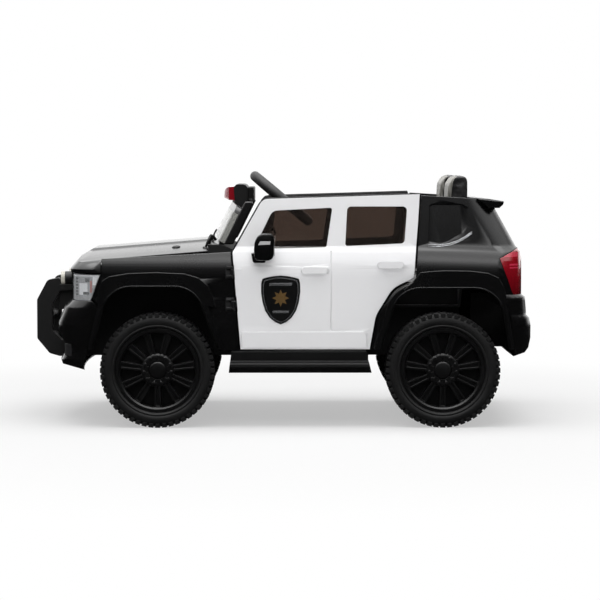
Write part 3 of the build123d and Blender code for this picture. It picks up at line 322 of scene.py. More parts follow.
def ring_tree():
    """Copies of a piece at equal turns about the Y axis."""
    tree, source = new_tree("ring_of_copies", {"Piece": "Geometry", "Copies": "Int", "Finish": "Material"})
    points = tree.nodes.new("GeometryNodeMeshLine")
    points.inputs["Offset"].default_value = (0, 0, 0)
    index = tree.nodes.new("GeometryNodeInputIndex")
    step = tree.nodes.new("ShaderNodeMath")
    step.operation = "DIVIDE"
    step.inputs[0].default_value = 2 * math.pi
    turn = tree.nodes.new("ShaderNodeMath")
    turn.operation = "MULTIPLY"
    euler = tree.nodes.new("ShaderNodeCombineXYZ")
    rotation = tree.nodes.new("FunctionNodeEulerToRotation")
    link = tree.links.new
    link(source.outputs["Copies"], points.inputs["Count"])
    link(source.outputs["Copies"], step.inputs[1])
    link(index.outputs[0], turn.inputs[0])
    link(step.outputs[0], turn.inputs[1])
    link(turn.outputs[0], euler.inputs["Y"])
    link(euler.outputs[0], rotation.inputs[0])
    plant(tree, source, points.outputs[0], source.outputs["Piece"], rotation.outputs[0])
    return tree


def grown(mesh, tree, values):
    """A mesh run through a Geometry Nodes tree, as a plain mesh."""
    carrier = bpy.data.objects.new(tree.name, mesh)
    scene.collection.objects.link(carrier)
    modifier = carrier.modifiers.new(tree.name, "NODES")
    modifier.node_group = tree
    for socket in tree.interface.items_tree:
        if socket.in_out == "INPUT" and socket.name in values:
            modifier[socket.identifier] = values[socket.name]
    graph = bpy.context.evaluated_depsgraph_get()
    result = bpy.data.meshes.new_from_object(carrier.evaluated_get(graph), depsgraph=graph)
    carrier.modifiers.remove(modifier)
    bpy.data.objects.remove(carrier)
    return result


def joined(*meshes):
    """One mesh from several."""
    work = bmesh.new()
    for mesh in meshes:
        work.from_mesh(mesh)
    whole = bpy.data.meshes.new("joined")
    work.to_mesh(whole)
    work.free()
    return whole


def piece(name, mesh, material, body):
    """A finished mesh as a piece of the car that moves with a body."""
    mesh.materials.clear()
    mesh.materials.append(material)
    thing = bpy.data.objects.new(name, mesh)
    scene.collection.objects.link(thing)
    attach(thing, body)
    return thing


def slab(corners, low, high, bevel, far_corners=None):
    """Prism between two depths over a closed (u, v) outline, as (u, depth, v), edges eased.

    Far corners give the far end an outline of its own."""
    work = bmesh.new()
    near = [work.verts.new((u, low, v)) for u, v in corners]
    far = [work.verts.new((u, high, v)) for u, v in far_corners or corners]
    work.faces.new(near)
    work.faces.new(far[::-1])
    for i in range(len(corners)):
        j = (i + 1) % len(corners)
        work.faces.new((near[j], near[i], far[i], far[j]))
    bmesh.ops.recalc_face_normals(work, faces=work.faces)
    if bevel:
        bmesh.ops.bevel(work, geom=work.edges[:], offset=bevel, segments=2, affect="EDGES", profile=0.6)
    mesh = bpy.data.meshes.new("slab")
    work.to_mesh(mesh)
    work.free()
    return mesh


def rubber(start):
    grain = noise(start, 700, 3)
    cloud = noise(start, 14, 4)
    return {
        "Base Color": start.mix(cloud, (0.0036, 0.0036, 0.0038, 1), (0.0080, 0.0080, 0.0083, 1)),
        "Roughness": 0.44 + cloud * 0.20,
        "Specular IOR Level": 0.3,
        "Normal": start.node("Bump", {}, {"Strength": 0.3, "Distance": 0.0005, "Height": grain}),
    }


tyre_rubber = finish("foamed_rubber", rubber)
WHEEL_RADIUS = 0.153
TYRE_HALF = 0.0475
BEAD_RADIUS = 0.112
CARCASS = WHEEL_RADIUS - 0.0018
tyre_profile = [
    (BEAD_RADIUS, -TYRE_HALF + 0.008), (BEAD_RADIUS + 0.003, -TYRE_HALF + 0.002),
    (BEAD_RADIUS + 0.006, -TYRE_HALF), (BEAD_RADIUS + 0.0085, -TYRE_HALF + 0.0002),
    (BEAD_RADIUS + 0.0095, -TYRE_HALF + 0.0014), (BEAD_RADIUS + 0.0105, -TYRE_HALF + 0.0002),
    (BEAD_RADIUS + 0.020, -TYRE_HALF), (CARCASS - 0.010, -TYRE_HALF + 0.0015),
    (CARCASS - 0.004, -TYRE_HALF + 0.0050), (CARCASS - 0.0008, -TYRE_HALF + 0.011),
    (CARCASS, -TYRE_HALF + 0.018),
]
tyre_profile += [(radius, -y) for radius, y in reversed(tyre_profile)]
LUG_COUNT = 52
LUG_TIP = WHEEL_RADIUS - 0.0002
LUG_EASE = 0.0011
# shoulder block in side view (across, out), then the block that runs in over the tread
lug_outline = [(-0.0056, CARCASS - 0.0095), (0.0048, CARCASS - 0.0095), (0.0068, LUG_TIP), (-0.0068, LUG_TIP)]
rib_outline = [(-0.0052, CARCASS - 0.003), (0.0062, CARCASS - 0.003), (0.0064, LUG_TIP), (-0.0056, LUG_TIP)]
shoulder = slab(lug_outline, -TYRE_HALF + 0.0004, -TYRE_HALF + 0.019, LUG_EASE)
middle = slab(rib_outline, -TYRE_HALF + 0.024, -0.003, LUG_EASE)
turned = Matrix.Rotation(math.pi, 4, "Z") @ Matrix.Rotation(math.pi / LUG_COUNT, 4, "Y")
far_shoulder, far_middle = shoulder.copy(), middle.copy()
far_shoulder.transform(turned)
far_middle.transform(turned)
ring_of_copies = ring_tree()
lug_ring = grown(joined(shoulder, middle, far_shoulder, far_middle), ring_of_copies,
                 {"Copies": LUG_COUNT, "Finish": tyre_rubber})
tyre_mesh = joined(lathe(tyre_profile, 132), lug_ring)


def gloss_rim(start):
    cloud = noise(start, 22, 4)
    return {
        "Base Color": start.mix(cloud, (0.0026, 0.0026, 0.0028, 1), (0.0050, 0.0050, 0.0053, 1)),
        "Roughness": 0.26 + cloud * 0.14,
        "Specular IOR Level": 0.4,
        "Normal": eased(start, cloud, 0.1, 0.0003, 0.0014),
    }


rim_black = finish("rim_black_plastic", gloss_rim)


def disc(radius, low, high, bevel, sides=20):
    """Short cylinder along Y about the origin, its rims eased."""
    ring = [(radius * math.sin(2 * math.pi * i / sides), radius * math.cos(2 * math.pi * i / sides))
            for i in range(sides)]
    return slab(ring, low, high, bevel)


COVER_FACE = -0.0370        # hub cover's face from the wheel's middle, just proud of the spokes
COVER_RADIUS = 0.0455
CAP_RADIUS = 0.0225
STUD_RING = 0.0362
STUD_COUNT = 11
cover_profile = [(0, COVER_FACE - 0.0010), (CAP_RADIUS - 0.0035, COVER_FACE - 0.0010),
                 (CAP_RADIUS, COVER_FACE + 0.0004), (CAP_RADIUS + 0.0010, COVER_FACE + 0.0050),
                 (CAP_RADIUS + 0.0045, COVER_FACE + 0.0050), (CAP_RADIUS + 0.0065, COVER_FACE + 0.0018),
                 (COVER_RADIUS - 0.0030, COVER_FACE + 0.0010), (COVER_RADIUS, COVER_FACE + 0.0045),
                 (COVER_RADIUS, COVER_FACE + 0.0085), (0, COVER_FACE + 0.0085)]
stud = disc(0.0046, COVER_FACE - 0.0030, COVER_FACE + 0.0040, 0.0009, 12)
stud.transform(Matrix.Translation((0, 0, STUD_RING)))
hub_cover = joined(lathe(cover_profile, 66),
                   grown(stud, ring_of_copies, {"Copies": STUD_COUNT, "Finish": rim_black}))
for corner in ("front_left", "front_right", "rear_left", "rear_right"):
    low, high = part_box("tyre_" + corner)
    tyre = tyre_mesh.copy()
    tyre.transform(Matrix.Translation((low + high) / 2))
    tyre_piece = piece("tyre_tread_" + corner, tyre, tyre_rubber, "wheel_" + corner)
    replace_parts(tyre_piece, "tyre_" + corner)
    dress(rim_black, "rim_" + corner)
    cover = hub_cover.copy()
    facing = Matrix.Rotation(math.pi if corner.endswith("right") else 0, 4, "Z")
    cover.transform(Matrix.Translation((low + high) / 2) @ facing)
    piece("hub_cover_" + corner, cover, rim_black, "wheel_" + corner)


# Body panels: thin injection-moulded black plastic with a smooth gloss, slightly wavy as large
# mouldings are, clipped and screwed together along their seams.
HINGE_X = -0.1315
HINGE_HEIGHTS = (0.330, 0.415)


def axes(start):
    """The piece's own X, Y and Z."""
    place = start.node("TexCoord", {}, {}, "Object")
    split = start.node("SeparateXYZ", {}, {"Vector": place}, "X")
    return split, split.out("Y"), split.out("Z")


def gloss_black(start):
    """Gloss black that is matt round the door hinges."""
    cloud = noise(start, 5, 3)
    fleck = noise(start, 260, 3)
    along, across, up = axes(start)
    hinge = 0
    for height in HINGE_HEIGHTS:
        near = start.math("ABSOLUTE", up - height, 0) < 0.018
        hinge = near * (along > HINGE_X - 0.018) * (along < HINGE_X + 0.012) + hinge
    return {
        "Base Color": start.mix(cloud, (0.0022, 0.0022, 0.0024, 1), (0.0036, 0.0036, 0.0040, 1)),
        "Roughness": 0.20 + cloud * 0.08 + fleck * 0.04 + hinge * 0.5,
        "Specular IOR Level": 0.5,
        "Normal": eased(start, cloud, 0.25, 0.0012, 0.0030),
    }


def applied(thing):
    """A thing's mesh with its modifiers applied."""
    graph = bpy.context.evaluated_depsgraph_get()
    return bpy.data.meshes.new_from_object(thing.evaluated_get(graph), depsgraph=graph)


def merged(name):
    """A CAD node's mesh as one joined surface."""
    work = bmesh.new()
    work.from_mesh(node[name].data)
    bmesh.ops.remove_doubles(work, verts=work.verts, dist=1e-6)
    mesh = bpy.data.meshes.new(name)
    work.to_mesh(mesh)
    work.free()
    return mesh


CREASE_ANGLE = math.radians(22)
TAIL_CREASE = math.radians(9)   # the tail panel's bends are shallower


def smooth_panel(name, material, body, crease=CREASE_ANGLE):
    """A CAD panel shaded smoothly over its curves and crisp at its creases."""
    mesh = merged(name)
    mesh.shade_smooth()
    mesh.set_sharp_from_angle(angle=crease)
    panel = piece("moulded_" + name, mesh, material, body)
    weighed = panel.modifiers.new("flat_faces_lead", "WEIGHTED_NORMAL")
    weighed.keep_sharp = True
    panel.data = applied(panel)
    panel.modifiers.clear()
    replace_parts(panel, name)


panel_black = finish("gloss_black_plastic", gloss_black)
for panel_name in ("hood", "fender_left", "fender_right", "front_bumper", "rear_bumper", "quarter_left",
                   "quarter_right", "rear_deck"):
    smooth_panel(panel_name, panel_black, "body")
smooth_panel("tailgate", panel_black, "body", TAIL_CREASE)
dress(panel_black, "windscreen_frame")


# Arch flares: deep vertical skirts screwed over the panels' lips, so each arch is framed by a plain
# dark band below the leaning side wall.
def mirrored(mesh):
    """The same mesh on the car's right."""
    other = mesh.copy()
    other.transform(Matrix.Scale(-1, 4, (0, 1, 0)))
    outward(other)
    return other


def both_hands(name, mesh, material, carrier):
    """A left-hand piece and its mirror image, on the body or each on its own door."""
    for hand, shape in (("left", mesh), ("right", mirrored(mesh))):
        piece(f"{name}_{hand}", shape, material, "door_" + hand if carrier == "door" else carrier)


def tube(points, radius, sides=10):
    """Round bar along a run of points, closed at both ends."""
    work = bmesh.new()
    rings = []
    for i, point in enumerate(points):
        point = Vector(point)
        ahead = Vector(points[min(i + 1, len(points) - 1)]) - Vector(points[max(i - 1, 0)])
        side_way = ahead.cross(Vector((0, 1, 0.01))).normalized()
        up_way = ahead.cross(side_way).normalized()
        rings.append([work.verts.new(point + radius * (side_way * math.cos(turn) + up_way * math.sin(turn)))
                      for turn in (2 * math.pi * k / sides for k in range(sides))])
    for ring, following in zip(rings, rings[1:]):
        for k in range(sides):
            work.faces.new((ring[k], ring[(k + 1) % sides], following[(k + 1) % sides], following[k]))
    work.faces.new(rings[0])
    work.faces.new(rings[-1])
    bmesh.ops.recalc_face_normals(work, faces=work.faces)
    mesh = bpy.data.meshes.new("tube")
    work.to_mesh(mesh)
    work.free()
    mesh.shade_smooth()
    return mesh


ARCH_BEND = 0.0758          # radius of an arch's upper corners, just clear of the opening


def bend(middle, height, first, last, out=0):
    """Points round an arch's upper corner, between two angles, grown outward."""
    turns = [math.radians(first + (last - first) * i / 8) for i in range(9)]
    radius = ARCH_BEND + out
    return [(middle + radius * math.cos(turn), height + radius * math.sin(turn)) for turn in turns]


FLARE_FACE, FLARE_ROOT = -0.3710, -0.3450
FLARE_UNDERCUT = 0.0035     # fall of a skirt's upper edge towards the side wall
FRONT_BENDS, FRONT_BEND_Z = (-0.2845, -0.4001), 0.300   # arch corners' middles: along, height
REAR_BENDS, REAR_BEND_Z = (0.5109, 0.3674), 0.296
front_skirt = [(-0.4900, 0.3350), (-0.4850, 0.3720), (-0.4760, 0.3925), (-0.4579, 0.4045), (-0.4059, 0.4131),
               (-0.3315, 0.4157), (-0.2571, 0.4120), (-0.2200, 0.4008), (-0.1960, 0.3800), (-0.1830, 0.3500),
               (-0.1760, 0.3250)]   # outer edge: along, height
front_arch = bend(FRONT_BENDS[0], FRONT_BEND_Z, 20, 90) + bend(FRONT_BENDS[1], FRONT_BEND_Z, 90, 152)
rear_skirt = [(0.3220, 0.3695), (0.3440, 0.3870), (0.3570, 0.4035), (0.3660, 0.4150), (0.3900, 0.4178),
              (0.4328, 0.4205), (0.5002, 0.4190), (0.5463, 0.4135), (0.5740, 0.4010), (0.5880, 0.3780),
              (0.5950, 0.3500), (0.5965, 0.3320)]
rear_arch = bend(REAR_BENDS[0], REAR_BEND_Z, 25, 90) + bend(REAR_BENDS[1], REAR_BEND_Z, 90, 126)
for skirt_name, edge, arch in (("front_flare", front_skirt, front_arch), ("rear_flare", rear_skirt, rear_arch)):
    undercut = [(along, height - FLARE_UNDERCUT) for along, height in edge]
    skirt = slab(edge + arch, FLARE_FACE, FLARE_ROOT, 0.0006, undercut + arch)
    both_hands(skirt_name, skirt, panel_black, "body")
LIP_OUT = 0.0030            # rolled lip's middle line outside the arch's edge
LIP_RADIUS = 0.0014
front_bead = [(-0.1694, 0.2150), (-0.1950, 0.2850)] + bend(FRONT_BENDS[0], FRONT_BEND_Z, 20, 90, LIP_OUT)
front_bead += bend(FRONT_BENDS[1], FRONT_BEND_Z, 90, 166, LIP_OUT) + [(-0.4870, 0.2800), (-0.5025, 0.2150)]
rear_bead = [(0.6055, 0.2150), (0.5940, 0.2800)] + bend(REAR_BENDS[0], REAR_BEND_Z, 10, 90, LIP_OUT)
rear_bead += bend(REAR_BENDS[1], REAR_BEND_Z, 90, 163, LIP_OUT) + [(0.2810, 0.2800), (0.2620, 0.2150)]
for bead_name, bead in (("front_bead", front_bead), ("rear_bead", rear_bead)):
    lip = tube([(along, FLARE_FACE + 0.0004, height) for along, height in bead], LIP_RADIUS, 8)
    both_hands(bead_name, lip, panel_black, "body")


# Doors: white gloss mouldings, black on the inside, that hang on two hinge eyes at their front edge,
# with a smoked plastic pane glued into each window.
WALL_LEANS = [(0.209, 0.0075), (0.26, 0.0022), (0.32, 0.0), (0.40, 0.0), (0.425, 0.0023), (0.446, 0.0079),
              (0.468, 0.018), (0.482, 0.028), (0.64, 0.056)]   # height, lean of the side wall
HALF_WIDTH = 0.350
BELT = 0.470
LEAN_SPAN, LEAN_MOST = 0.7, 0.06    # height and lean at the end of the colour ramp
WHITE_DEPTH = 0.0032        # white skin; deeper faces are black


def gloss_white(start):
    """White on the door's outer skin, black behind it and at the hinges."""
    cloud = noise(start, 4, 3)
    fleck = noise(start, 300, 3)
    along, across, up = axes(start)
    stops = [(height / LEAN_SPAN, [lean / LEAN_MOST] * 3 + [1]) for height, lean in WALL_LEANS]
    lean = start.node("ValToRGB", {"stops": stops}, {"Fac": up / LEAN_SPAN}) * LEAN_MOST
    black = (start.math("ABSOLUTE", across, 0) + lean) < HALF_WIDTH - WHITE_DEPTH
    for height in HINGE_HEIGHTS:
        near = start.math("ABSOLUTE", up - height, 0) < 0.020
        black = start.math("MAXIMUM", black, near * (along < HINGE_X + 0.0006 + (BELT - up) * 0.084))
    white = start.mix(cloud, (0.83, 0.83, 0.845, 1), (0.87, 0.87, 0.88, 1))
    return {
        "Base Color": start.mix(black, white, (0.008, 0.008, 0.0085, 1)),
        "Roughness": 0.22 + cloud * 0.10 + fleck * 0.05,
        "Normal": eased(start, cloud, 0.2, 0.0010, 0.0026),
    }


door_white = finish("gloss_white_plastic", gloss_white)
for hand in ("left", "right"):
    smooth_panel("door_" + hand, door_white, "door_" + hand)


def clouded(scale, dark, light, rough, spread, others):
    """Plain finish, faintly clouded in colour and gloss; others are inputs that stay even."""
    def build(start):
        cloud = noise(start, scale, 3)
        return {"Base Color": start.mix(cloud, dark, light), "Roughness": rough + cloud * spread, **others}
    return build


smoked = clouded(6, (0.178, 0.142, 0.122, 1), (0.202, 0.161, 0.139, 1), 0.02, 0.03,
                 {"Transmission Weight": 1.0, "IOR": 1.4})
dress(finish("smoked_plastic", smoked), "door_glass_left", "door_glass_right", "rear_window")


# Windscreen: one clear sheet, bowed and bent back round the pillars, glued over the frame; black
# cheeks screwed on behind fill the pillars out towards the doors.
def clear_plastic(start):
    cloud = noise(start, 7, 4)
    return {
        "Base Color": start.mix(cloud, (0.46, 0.46, 0.43, 1), (0.54, 0.54, 0.51, 1)),
        "Roughness": 0.06 + cloud * 0.06,
        "Alpha": 0.36 + cloud * 0.06,
    }


SCREEN_FOOT = Vector((-0.1965, 0, 0.486))
SCREEN_LEAN = math.radians(63)
UP_SCREEN = Vector((math.cos(SCREEN_LEAN), 0, math.sin(SCREEN_LEAN)))
OUT_OF_SCREEN = Vector((-math.sin(SCREEN_LEAN), 0, math.cos(SCREEN_LEAN)))
BOW_RADIUS = 1.8128
SHEET_THICK = 0.0010
SHEET_WRAP = 0.013          # sheet's run back along each pillar
FRAME_HALF, FRAME_DRAW = 0.294, 0.022       # half width at the foot, and its draw inward at the head
FRAME_BELOW, FRAME_TALL = 0.040, 0.168      # frame's run below the sheet's datum, and in all


def frame_half(up):
    """Half width of the windscreen frame at a distance up its slope."""
    return FRAME_HALF - FRAME_DRAW * (up + FRAME_BELOW) / FRAME_TALL


def screen_point(across, up, back):
    """Point on the bowed screen, or behind it."""
    drop = BOW_RADIUS - math.sqrt(BOW_RADIUS ** 2 - across ** 2)
    return SCREEN_FOOT + UP_SCREEN * up - OUT_OF_SCREEN * (drop + back) + Vector((0, across, 0))


SHEET_SPANS = 24
sheet_points = []
for up in (0.022, 0.050, 0.080, 0.108):
    edge = frame_half(up) + 0.0014
    left = [(-edge, SHEET_WRAP), (-edge, 0.003), (-edge + 0.0012, 0.0006)]
    front = [(edge - 0.004) * (2 * i / SHEET_SPANS - 1) for i in range(SHEET_SPANS + 1)]
    section = left + [(across, -0.0014) for across in front] + [(-across, back) for across, back in reversed(left)]
    sheet_points.append([screen_point(across, up, back) for across, back in section])
sheet_work = bmesh.new()
sheet_grid = [[sheet_work.verts.new(point) for point in row] for row in sheet_points]
for row, next_row in zip(sheet_grid, sheet_grid[1:]):
    for i in range(len(row) - 1):
        sheet_work.faces.new((row[i], row[i + 1], next_row[i + 1], next_row[i]))
bmesh.ops.recalc_face_normals(sheet_work, faces=sheet_work.faces)
bmesh.ops.solidify(sheet_work, geom=sheet_work.faces[:], thickness=SHEET_THICK)
sheet_mesh = bpy.data.meshes.new("windscreen_sheet")
sheet_work.to_mesh(sheet_mesh)
sheet_work.free()
sheet_mesh.shade_smooth()
sheet_mesh.set_sharp_from_angle(angle=math.radians(50))
outward(sheet_mesh)
windscreen_sheet = piece("windscreen_sheet", sheet_mesh, finish("clear_plastic", clear_plastic), "body")
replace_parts(windscreen_sheet, "windscreen")


CHEEK_WIDE, CHEEK_FOOT, CHEEK_TALL = 0.016, 0.4865, 0.111
CHEEK_OUT, CHEEK_DRAW = 0.2877, 0.0153      # outer face at the foot, and its draw inward at the head
cheek_face = [(-0.1570, 0.4865), (-0.1312, 0.4865), (-0.1168, 0.5146), (-0.0772, 0.5955), (-0.0805, 0.6005),
              (-0.0990, 0.6005)]   # along, height
cheek = slab(cheek_face, 0, CHEEK_WIDE, 0.0025)
for vertex in cheek.vertices:
    vertex.co.y -= CHEEK_OUT - CHEEK_DRAW * (vertex.co.z - CHEEK_FOOT) / CHEEK_TALL
both_hands("pillar_cheek", cheek, panel_black, "body")


# Headlamps: a clear moulded lens over a bright plated reflector with a dark upright light bar and
# an amber strip at its rear edge.
def lamp_lens(start):
    cloud = noise(start, 20, 3)
    return {
        "Base Color": (0.80, 0.82, 0.85, 1),
        "Roughness": 0.04 + cloud * 0.04,
        "Alpha": 0.16 + cloud * 0.06,
    }


dress(finish("headlamp_lens", lamp_lens), "headlamps")


def inset_copy(name, depth):
    """A CAD node's form, shrunk along its normals."""
    mesh = node[name].data.copy()
    outward(mesh)
    normals = [vertex.normal.copy() for vertex in mesh.vertices]
    for vertex, normal in zip(mesh.vertices, normals):
        vertex.co -= normal * depth
    return mesh


BULB_RADIUS, BULB_Z = 0.0225, 0.3755
BULB_PLACES = (0.190, 0.245)    # from the car's middle
LAMP_FRONT = -0.560         # bulbs show on the faces ahead of this


def plated(start):
    """Bright plating with dark bars, white reflectors, an amber strip and ringed bulbs."""
    along, across, up = axes(start)

    def patch(front, rear, foot, head):
        """Part of the reflector between two lengths and two heights."""
        return (along > front) * (along < rear) * (up > foot) * (up < head)

    def most(first, second):
        return start.math("MAXIMUM", first, second)

    ticks = start.math("FRACT", up / 0.0085, 0) > 0.35
    dark = most(patch(-0.5500, -0.5435, 0.3520, 0.4010) * ticks,
                most(patch(-0.5235, -0.5110, 0.3880, 0.3985), patch(-0.5290, -0.5130, 0.3545, 0.3620)))
    white = most(most(up > 0.4030, patch(-0.5400, -0.5170, 0.3540, 0.3850)),
                 patch(-0.5030, -0.4600, 0.3800, 0.4100))
    amber = patch(-0.5105, -0.5045, 0.3600, 0.3920)
    for bulb_y in BULB_PLACES:
        wide = (start.math("ABSOLUTE", across, 0) - bulb_y) / BULB_RADIUS
        tall = (up - BULB_Z) / BULB_RADIUS
        spread = wide * wide + tall * tall
        dark = most(dark, (spread > 0.74) * (spread < 1.0) * (along < LAMP_FRONT))
        white = most(white, (spread < 0.30) * (along < LAMP_FRONT))
    silver = start.mix(noise(start, 110, 4), (0.10, 0.10, 0.105, 1), (0.50, 0.51, 0.52, 1))
    marked = start.mix(white, silver, (0.78, 0.79, 0.81, 1))
    marked = start.mix(dark, marked, (0.008, 0.008, 0.009, 1))
    return {
        "Base Color": start.mix(amber, marked, (0.36, 0.10, 0.07, 1)),
        "Roughness": 0.22 + noise(start, 35, 3) * 0.2,
        "Metallic": 0.25,
    }


piece("headlamp_reflectors", inset_copy("headlamps", 0.003), finish("plated_reflector", plated), "body")


POD_LENS_X = -0.5970


def pod_finish(start):
    """Black spot-lamp shells with a warm white lens at the front."""
    parts = grained_black(start)
    lens = axes(start)[0] < POD_LENS_X
    parts["Base Color"] = start.mix(lens, parts["Base Color"], (0.62, 0.60, 0.53, 1))
    parts["Roughness"] = 0.50 - lens * 0.30
    return parts


smooth_panel("lamp_pods", finish("spot_lamp", pod_finish), "body")


# Tail lamps and roof light: moulded red and blue lenses over bright reflectors; each tail lamp has a
# painted highlight band near its top and a paler painted reflection at the back, and the roof lamps'
# outer shells are nearly clear.
def red_lens(start):
    """Red that deepens downward, with a painted highlight band near the top, two thin brighter lines and a paler
    painted reflection at the rear.
    """
    along, across, up = axes(start)
    ribs = start.math("FRACT", up / 0.0060, 0)
    # painted highlight: a pale pink band near the lens's top
    highlight_band = (up > 0.4545) * (up < 0.4665) * (along < 0.6300)
    lines = (up > 0.4315) * (up < 0.4360) + (up > 0.4240) * (up < 0.4275)
    inner = lines * (along > 0.6060) * (along < 0.6290)
    # painted reflection: the rear-facing end of the lens is paler, standing in for the white it reflects
    rear = (along > 0.6320 + (0.46 - up) * 0.02) * (up > 0.4330)
    fade = start.node("MapRange", {}, {"Value": up, "From Min": 0.36, "From Max": 0.47,
                                       "To Min": 0.0, "To Max": 1.0})
    deep = start.mix(fade, (0.115, 0.0010, 0.0040, 1), (0.330, 0.0050, 0.0140, 1))
    deep = start.mix(highlight_band, deep, (0.62, 0.050, 0.085, 1))
    deep = start.mix(inner, deep, (0.55, 0.030, 0.070, 1))
    return {
        "Base Color": start.mix(rear, deep, (0.62, 0.36, 0.36, 1)),
        "Roughness": 0.10 + ribs * 0.05,
        "Coat Weight": 0.5,
        "Normal": eased(start, ribs, 0.08, 0.0006, 0.0020),
    }


smooth_panel("tail_lamps", finish("red_lens", red_lens), "body")
LENS_CLEAR = -0.1465        # roof lenses are nearly clear ahead of this


def roof_lens(deep, clear):
    """Finish of a roof lens: deep colour at its reflector, clear shell ahead."""
    def build(start):
        along, across, up = axes(start)
        ribs = start.math("FRACT", across / 0.012, 0)
        shell = along < LENS_CLEAR
        ribbed = start.mix(ribs, deep, [2 * part for part in deep[:3]] + [1])
        return {
            "Base Color": start.mix(shell, ribbed, clear),
            "Roughness": 0.08 + ribs * 0.06,
            "Alpha": 0.97 - shell * 0.45,
            "Coat Weight": 0.4,
        }
    return build


for tint, deep, clear in (("red", (0.16, 0.0035, 0.008, 1), (0.62, 0.20, 0.19, 1)),
                          ("blue", (0.005, 0.022, 0.20, 1), (0.12, 0.20, 0.60, 1))):
    smooth_panel("beacon_" + tint, finish(f"roof_{tint}_lens", roof_lens(deep, clear)), "body")


# Trim: two thin bright lines under each blind rear window, slim lenses in the bumper's corners,
# wiper arms, door mirrors, each with a painted highlight on its cap, window seals and the spoiler's
# cheeks; clipped, glued or screwed on.
def wall_y(height):
    """Left side wall's Y at a height."""
    for (low, lean), (high, next_lean) in zip(WALL_LEANS, WALL_LEANS[1:]):
        if low <= height <= high:
            return -(HALF_WIDTH - lean - (next_lean - lean) * (height - low) / (high - low))


SILVER = (0.62, 0.63, 0.65, 1)
bright_trim = finish("bright_plating", clouded(30, SILVER, SILVER, 0.16, 0.14, {"Metallic": 0.9}))
DOOR_REAR = 0.3625
STRIP_RADIUS, STRIP_GAP = 0.0007, 0.0040
STRIP_LINE = [(0.0265, 0.4865), (0.0561, 0.4858), (0.0845, 0.4895), (0.1093, 0.4985), (0.1306, 0.5108),
              (0.1448, 0.5215)]   # along from the door, height
strips = joined(*[tube([(DOOR_REAR + along, wall_y(height - drop) - 0.0002, height - drop)
                        for along, height in STRIP_LINE], STRIP_RADIUS, 8) for drop in (0, STRIP_GAP)])
both_hands("window_strips", strips, bright_trim, "body")

CORNER_X, CORNER_Y, CORNER_RADIUS = -0.519, -0.271, 0.0702
FOG_DEPTH = 0.86            # lens's inner radius, as a share of the corner's
FOG_LOW, FOG_HIGH = 0.190, 0.2215
fog_outer = []
for turn in range(206, 236, 5):
    angle = math.radians(turn)
    fog_outer.append((CORNER_X + CORNER_RADIUS * math.cos(angle), CORNER_Y + CORNER_RADIUS * math.sin(angle)))
fog_inner = [(CORNER_X + (x - CORNER_X) * FOG_DEPTH, CORNER_Y + (y - CORNER_Y) * FOG_DEPTH)
             for x, y in reversed(fog_outer)]
fog = slab(fog_outer + fog_inner, FOG_LOW, FOG_HIGH, 0.0008)
fog.transform(Matrix(((1, 0, 0, 0), (0, 0, 1, 0), (0, 1, 0, 0), (0, 0, 0, 1))))   # stood upright
outward(fog)
grey_lens = clouded(26, (0.014, 0.014, 0.015, 1), (0.022, 0.022, 0.023, 1), 0.25, 0.12, {})
both_hands("fog_lamp", fog, finish("grey_lens", grey_lens), "body")

wiper = joined(tube([(-0.2070, -0.256, 0.474), (-0.1985, -0.252, 0.496), (-0.1930, -0.249, 0.508)], 0.0034, 8),
               tube([(-0.1985, -0.243, 0.474), (-0.1930, -0.246, 0.500), (-0.1900, -0.248, 0.512)], 0.0034, 8),
               tube([(-0.1930, -0.249, 0.508), (-0.1855, -0.242, 0.507), (-0.1790, -0.236, 0.497)], 0.0040, 8),
               tube([(-0.2085, -0.258, 0.468), (-0.2065, -0.256, 0.478)], 0.0070, 12))
both_hands("wiper", wiper, matt_black, "body")


def plate(low, high, bevel):
    """Box between two corners, edges eased."""
    return slab([(low[0], low[2]), (high[0], low[2]), (high[0], high[2]), (low[0], high[2])], low[1], high[1], bevel)


MIRROR_Y = 0.400
CAP_LEAN = 0.054            # mirror's reach in towards the door
cap_face = [(-0.0735, 0.4560), (-0.0740, 0.4780), (-0.0722, 0.4960), (-0.0655, 0.5105), (-0.0540, 0.5180),
            (-0.0300, 0.5190), (-0.0225, 0.5130), (-0.0200, 0.5000), (-0.0205, 0.4640), (-0.0240, 0.4530),
            (-0.0340, 0.4470), (-0.0660, 0.4470)]   # along, height
arm_face = [(-0.0815, 0.4660), (-0.0770, 0.4430), (-0.0730, 0.4405), (-0.0450, 0.4405), (-0.0420, 0.4480),
            (-0.0440, 0.4660)]
cap = slab(cap_face, -MIRROR_Y + 0.0005, -MIRROR_Y + CAP_LEAN, 0.0060)
arm = slab(arm_face, -MIRROR_Y + 0.022, wall_y(BELT - 0.016) + 0.0040, 0.0020)
mirror_body = joined(cap, arm)
mirror_body.shade_smooth()
mirror_body.set_sharp_from_angle(angle=math.radians(34))
for hand, mesh in (("left", mirror_body), ("right", mirrored(mirror_body))):
    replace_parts(piece("mirror_cap_" + hand, mesh, panel_black, "door_" + hand), "mirror_" + hand)
glass = plate((-0.0206, -MIRROR_Y + 0.0085, 0.4590), (-0.0196, -MIRROR_Y + CAP_LEAN - 0.0080, 0.5060), 0.0003)
both_hands("mirror_glass", glass, bright_trim, "door")
# painted highlight: a thin pale sheet on the mirror cap stands in for the light that the cap catches
highlight_sheet = slab([(-0.0630, 0.4885), (-0.0315, 0.4900), (-0.0300, 0.4985), (-0.0570, 0.4985)],
             -MIRROR_Y + 0.0001, -MIRROR_Y + 0.002, 0.0003)
# pale plastic of the gauges and radio keys, also used for the mirrors' painted highlight
pale = clouded(30, (0.42, 0.42, 0.43, 1), (0.52, 0.52, 0.53, 1), 0.3, 0.1, {})
pale_plastic = finish("pale_plastic", pale)
both_hands("mirror_flash", highlight_sheet, pale_plastic, "door")


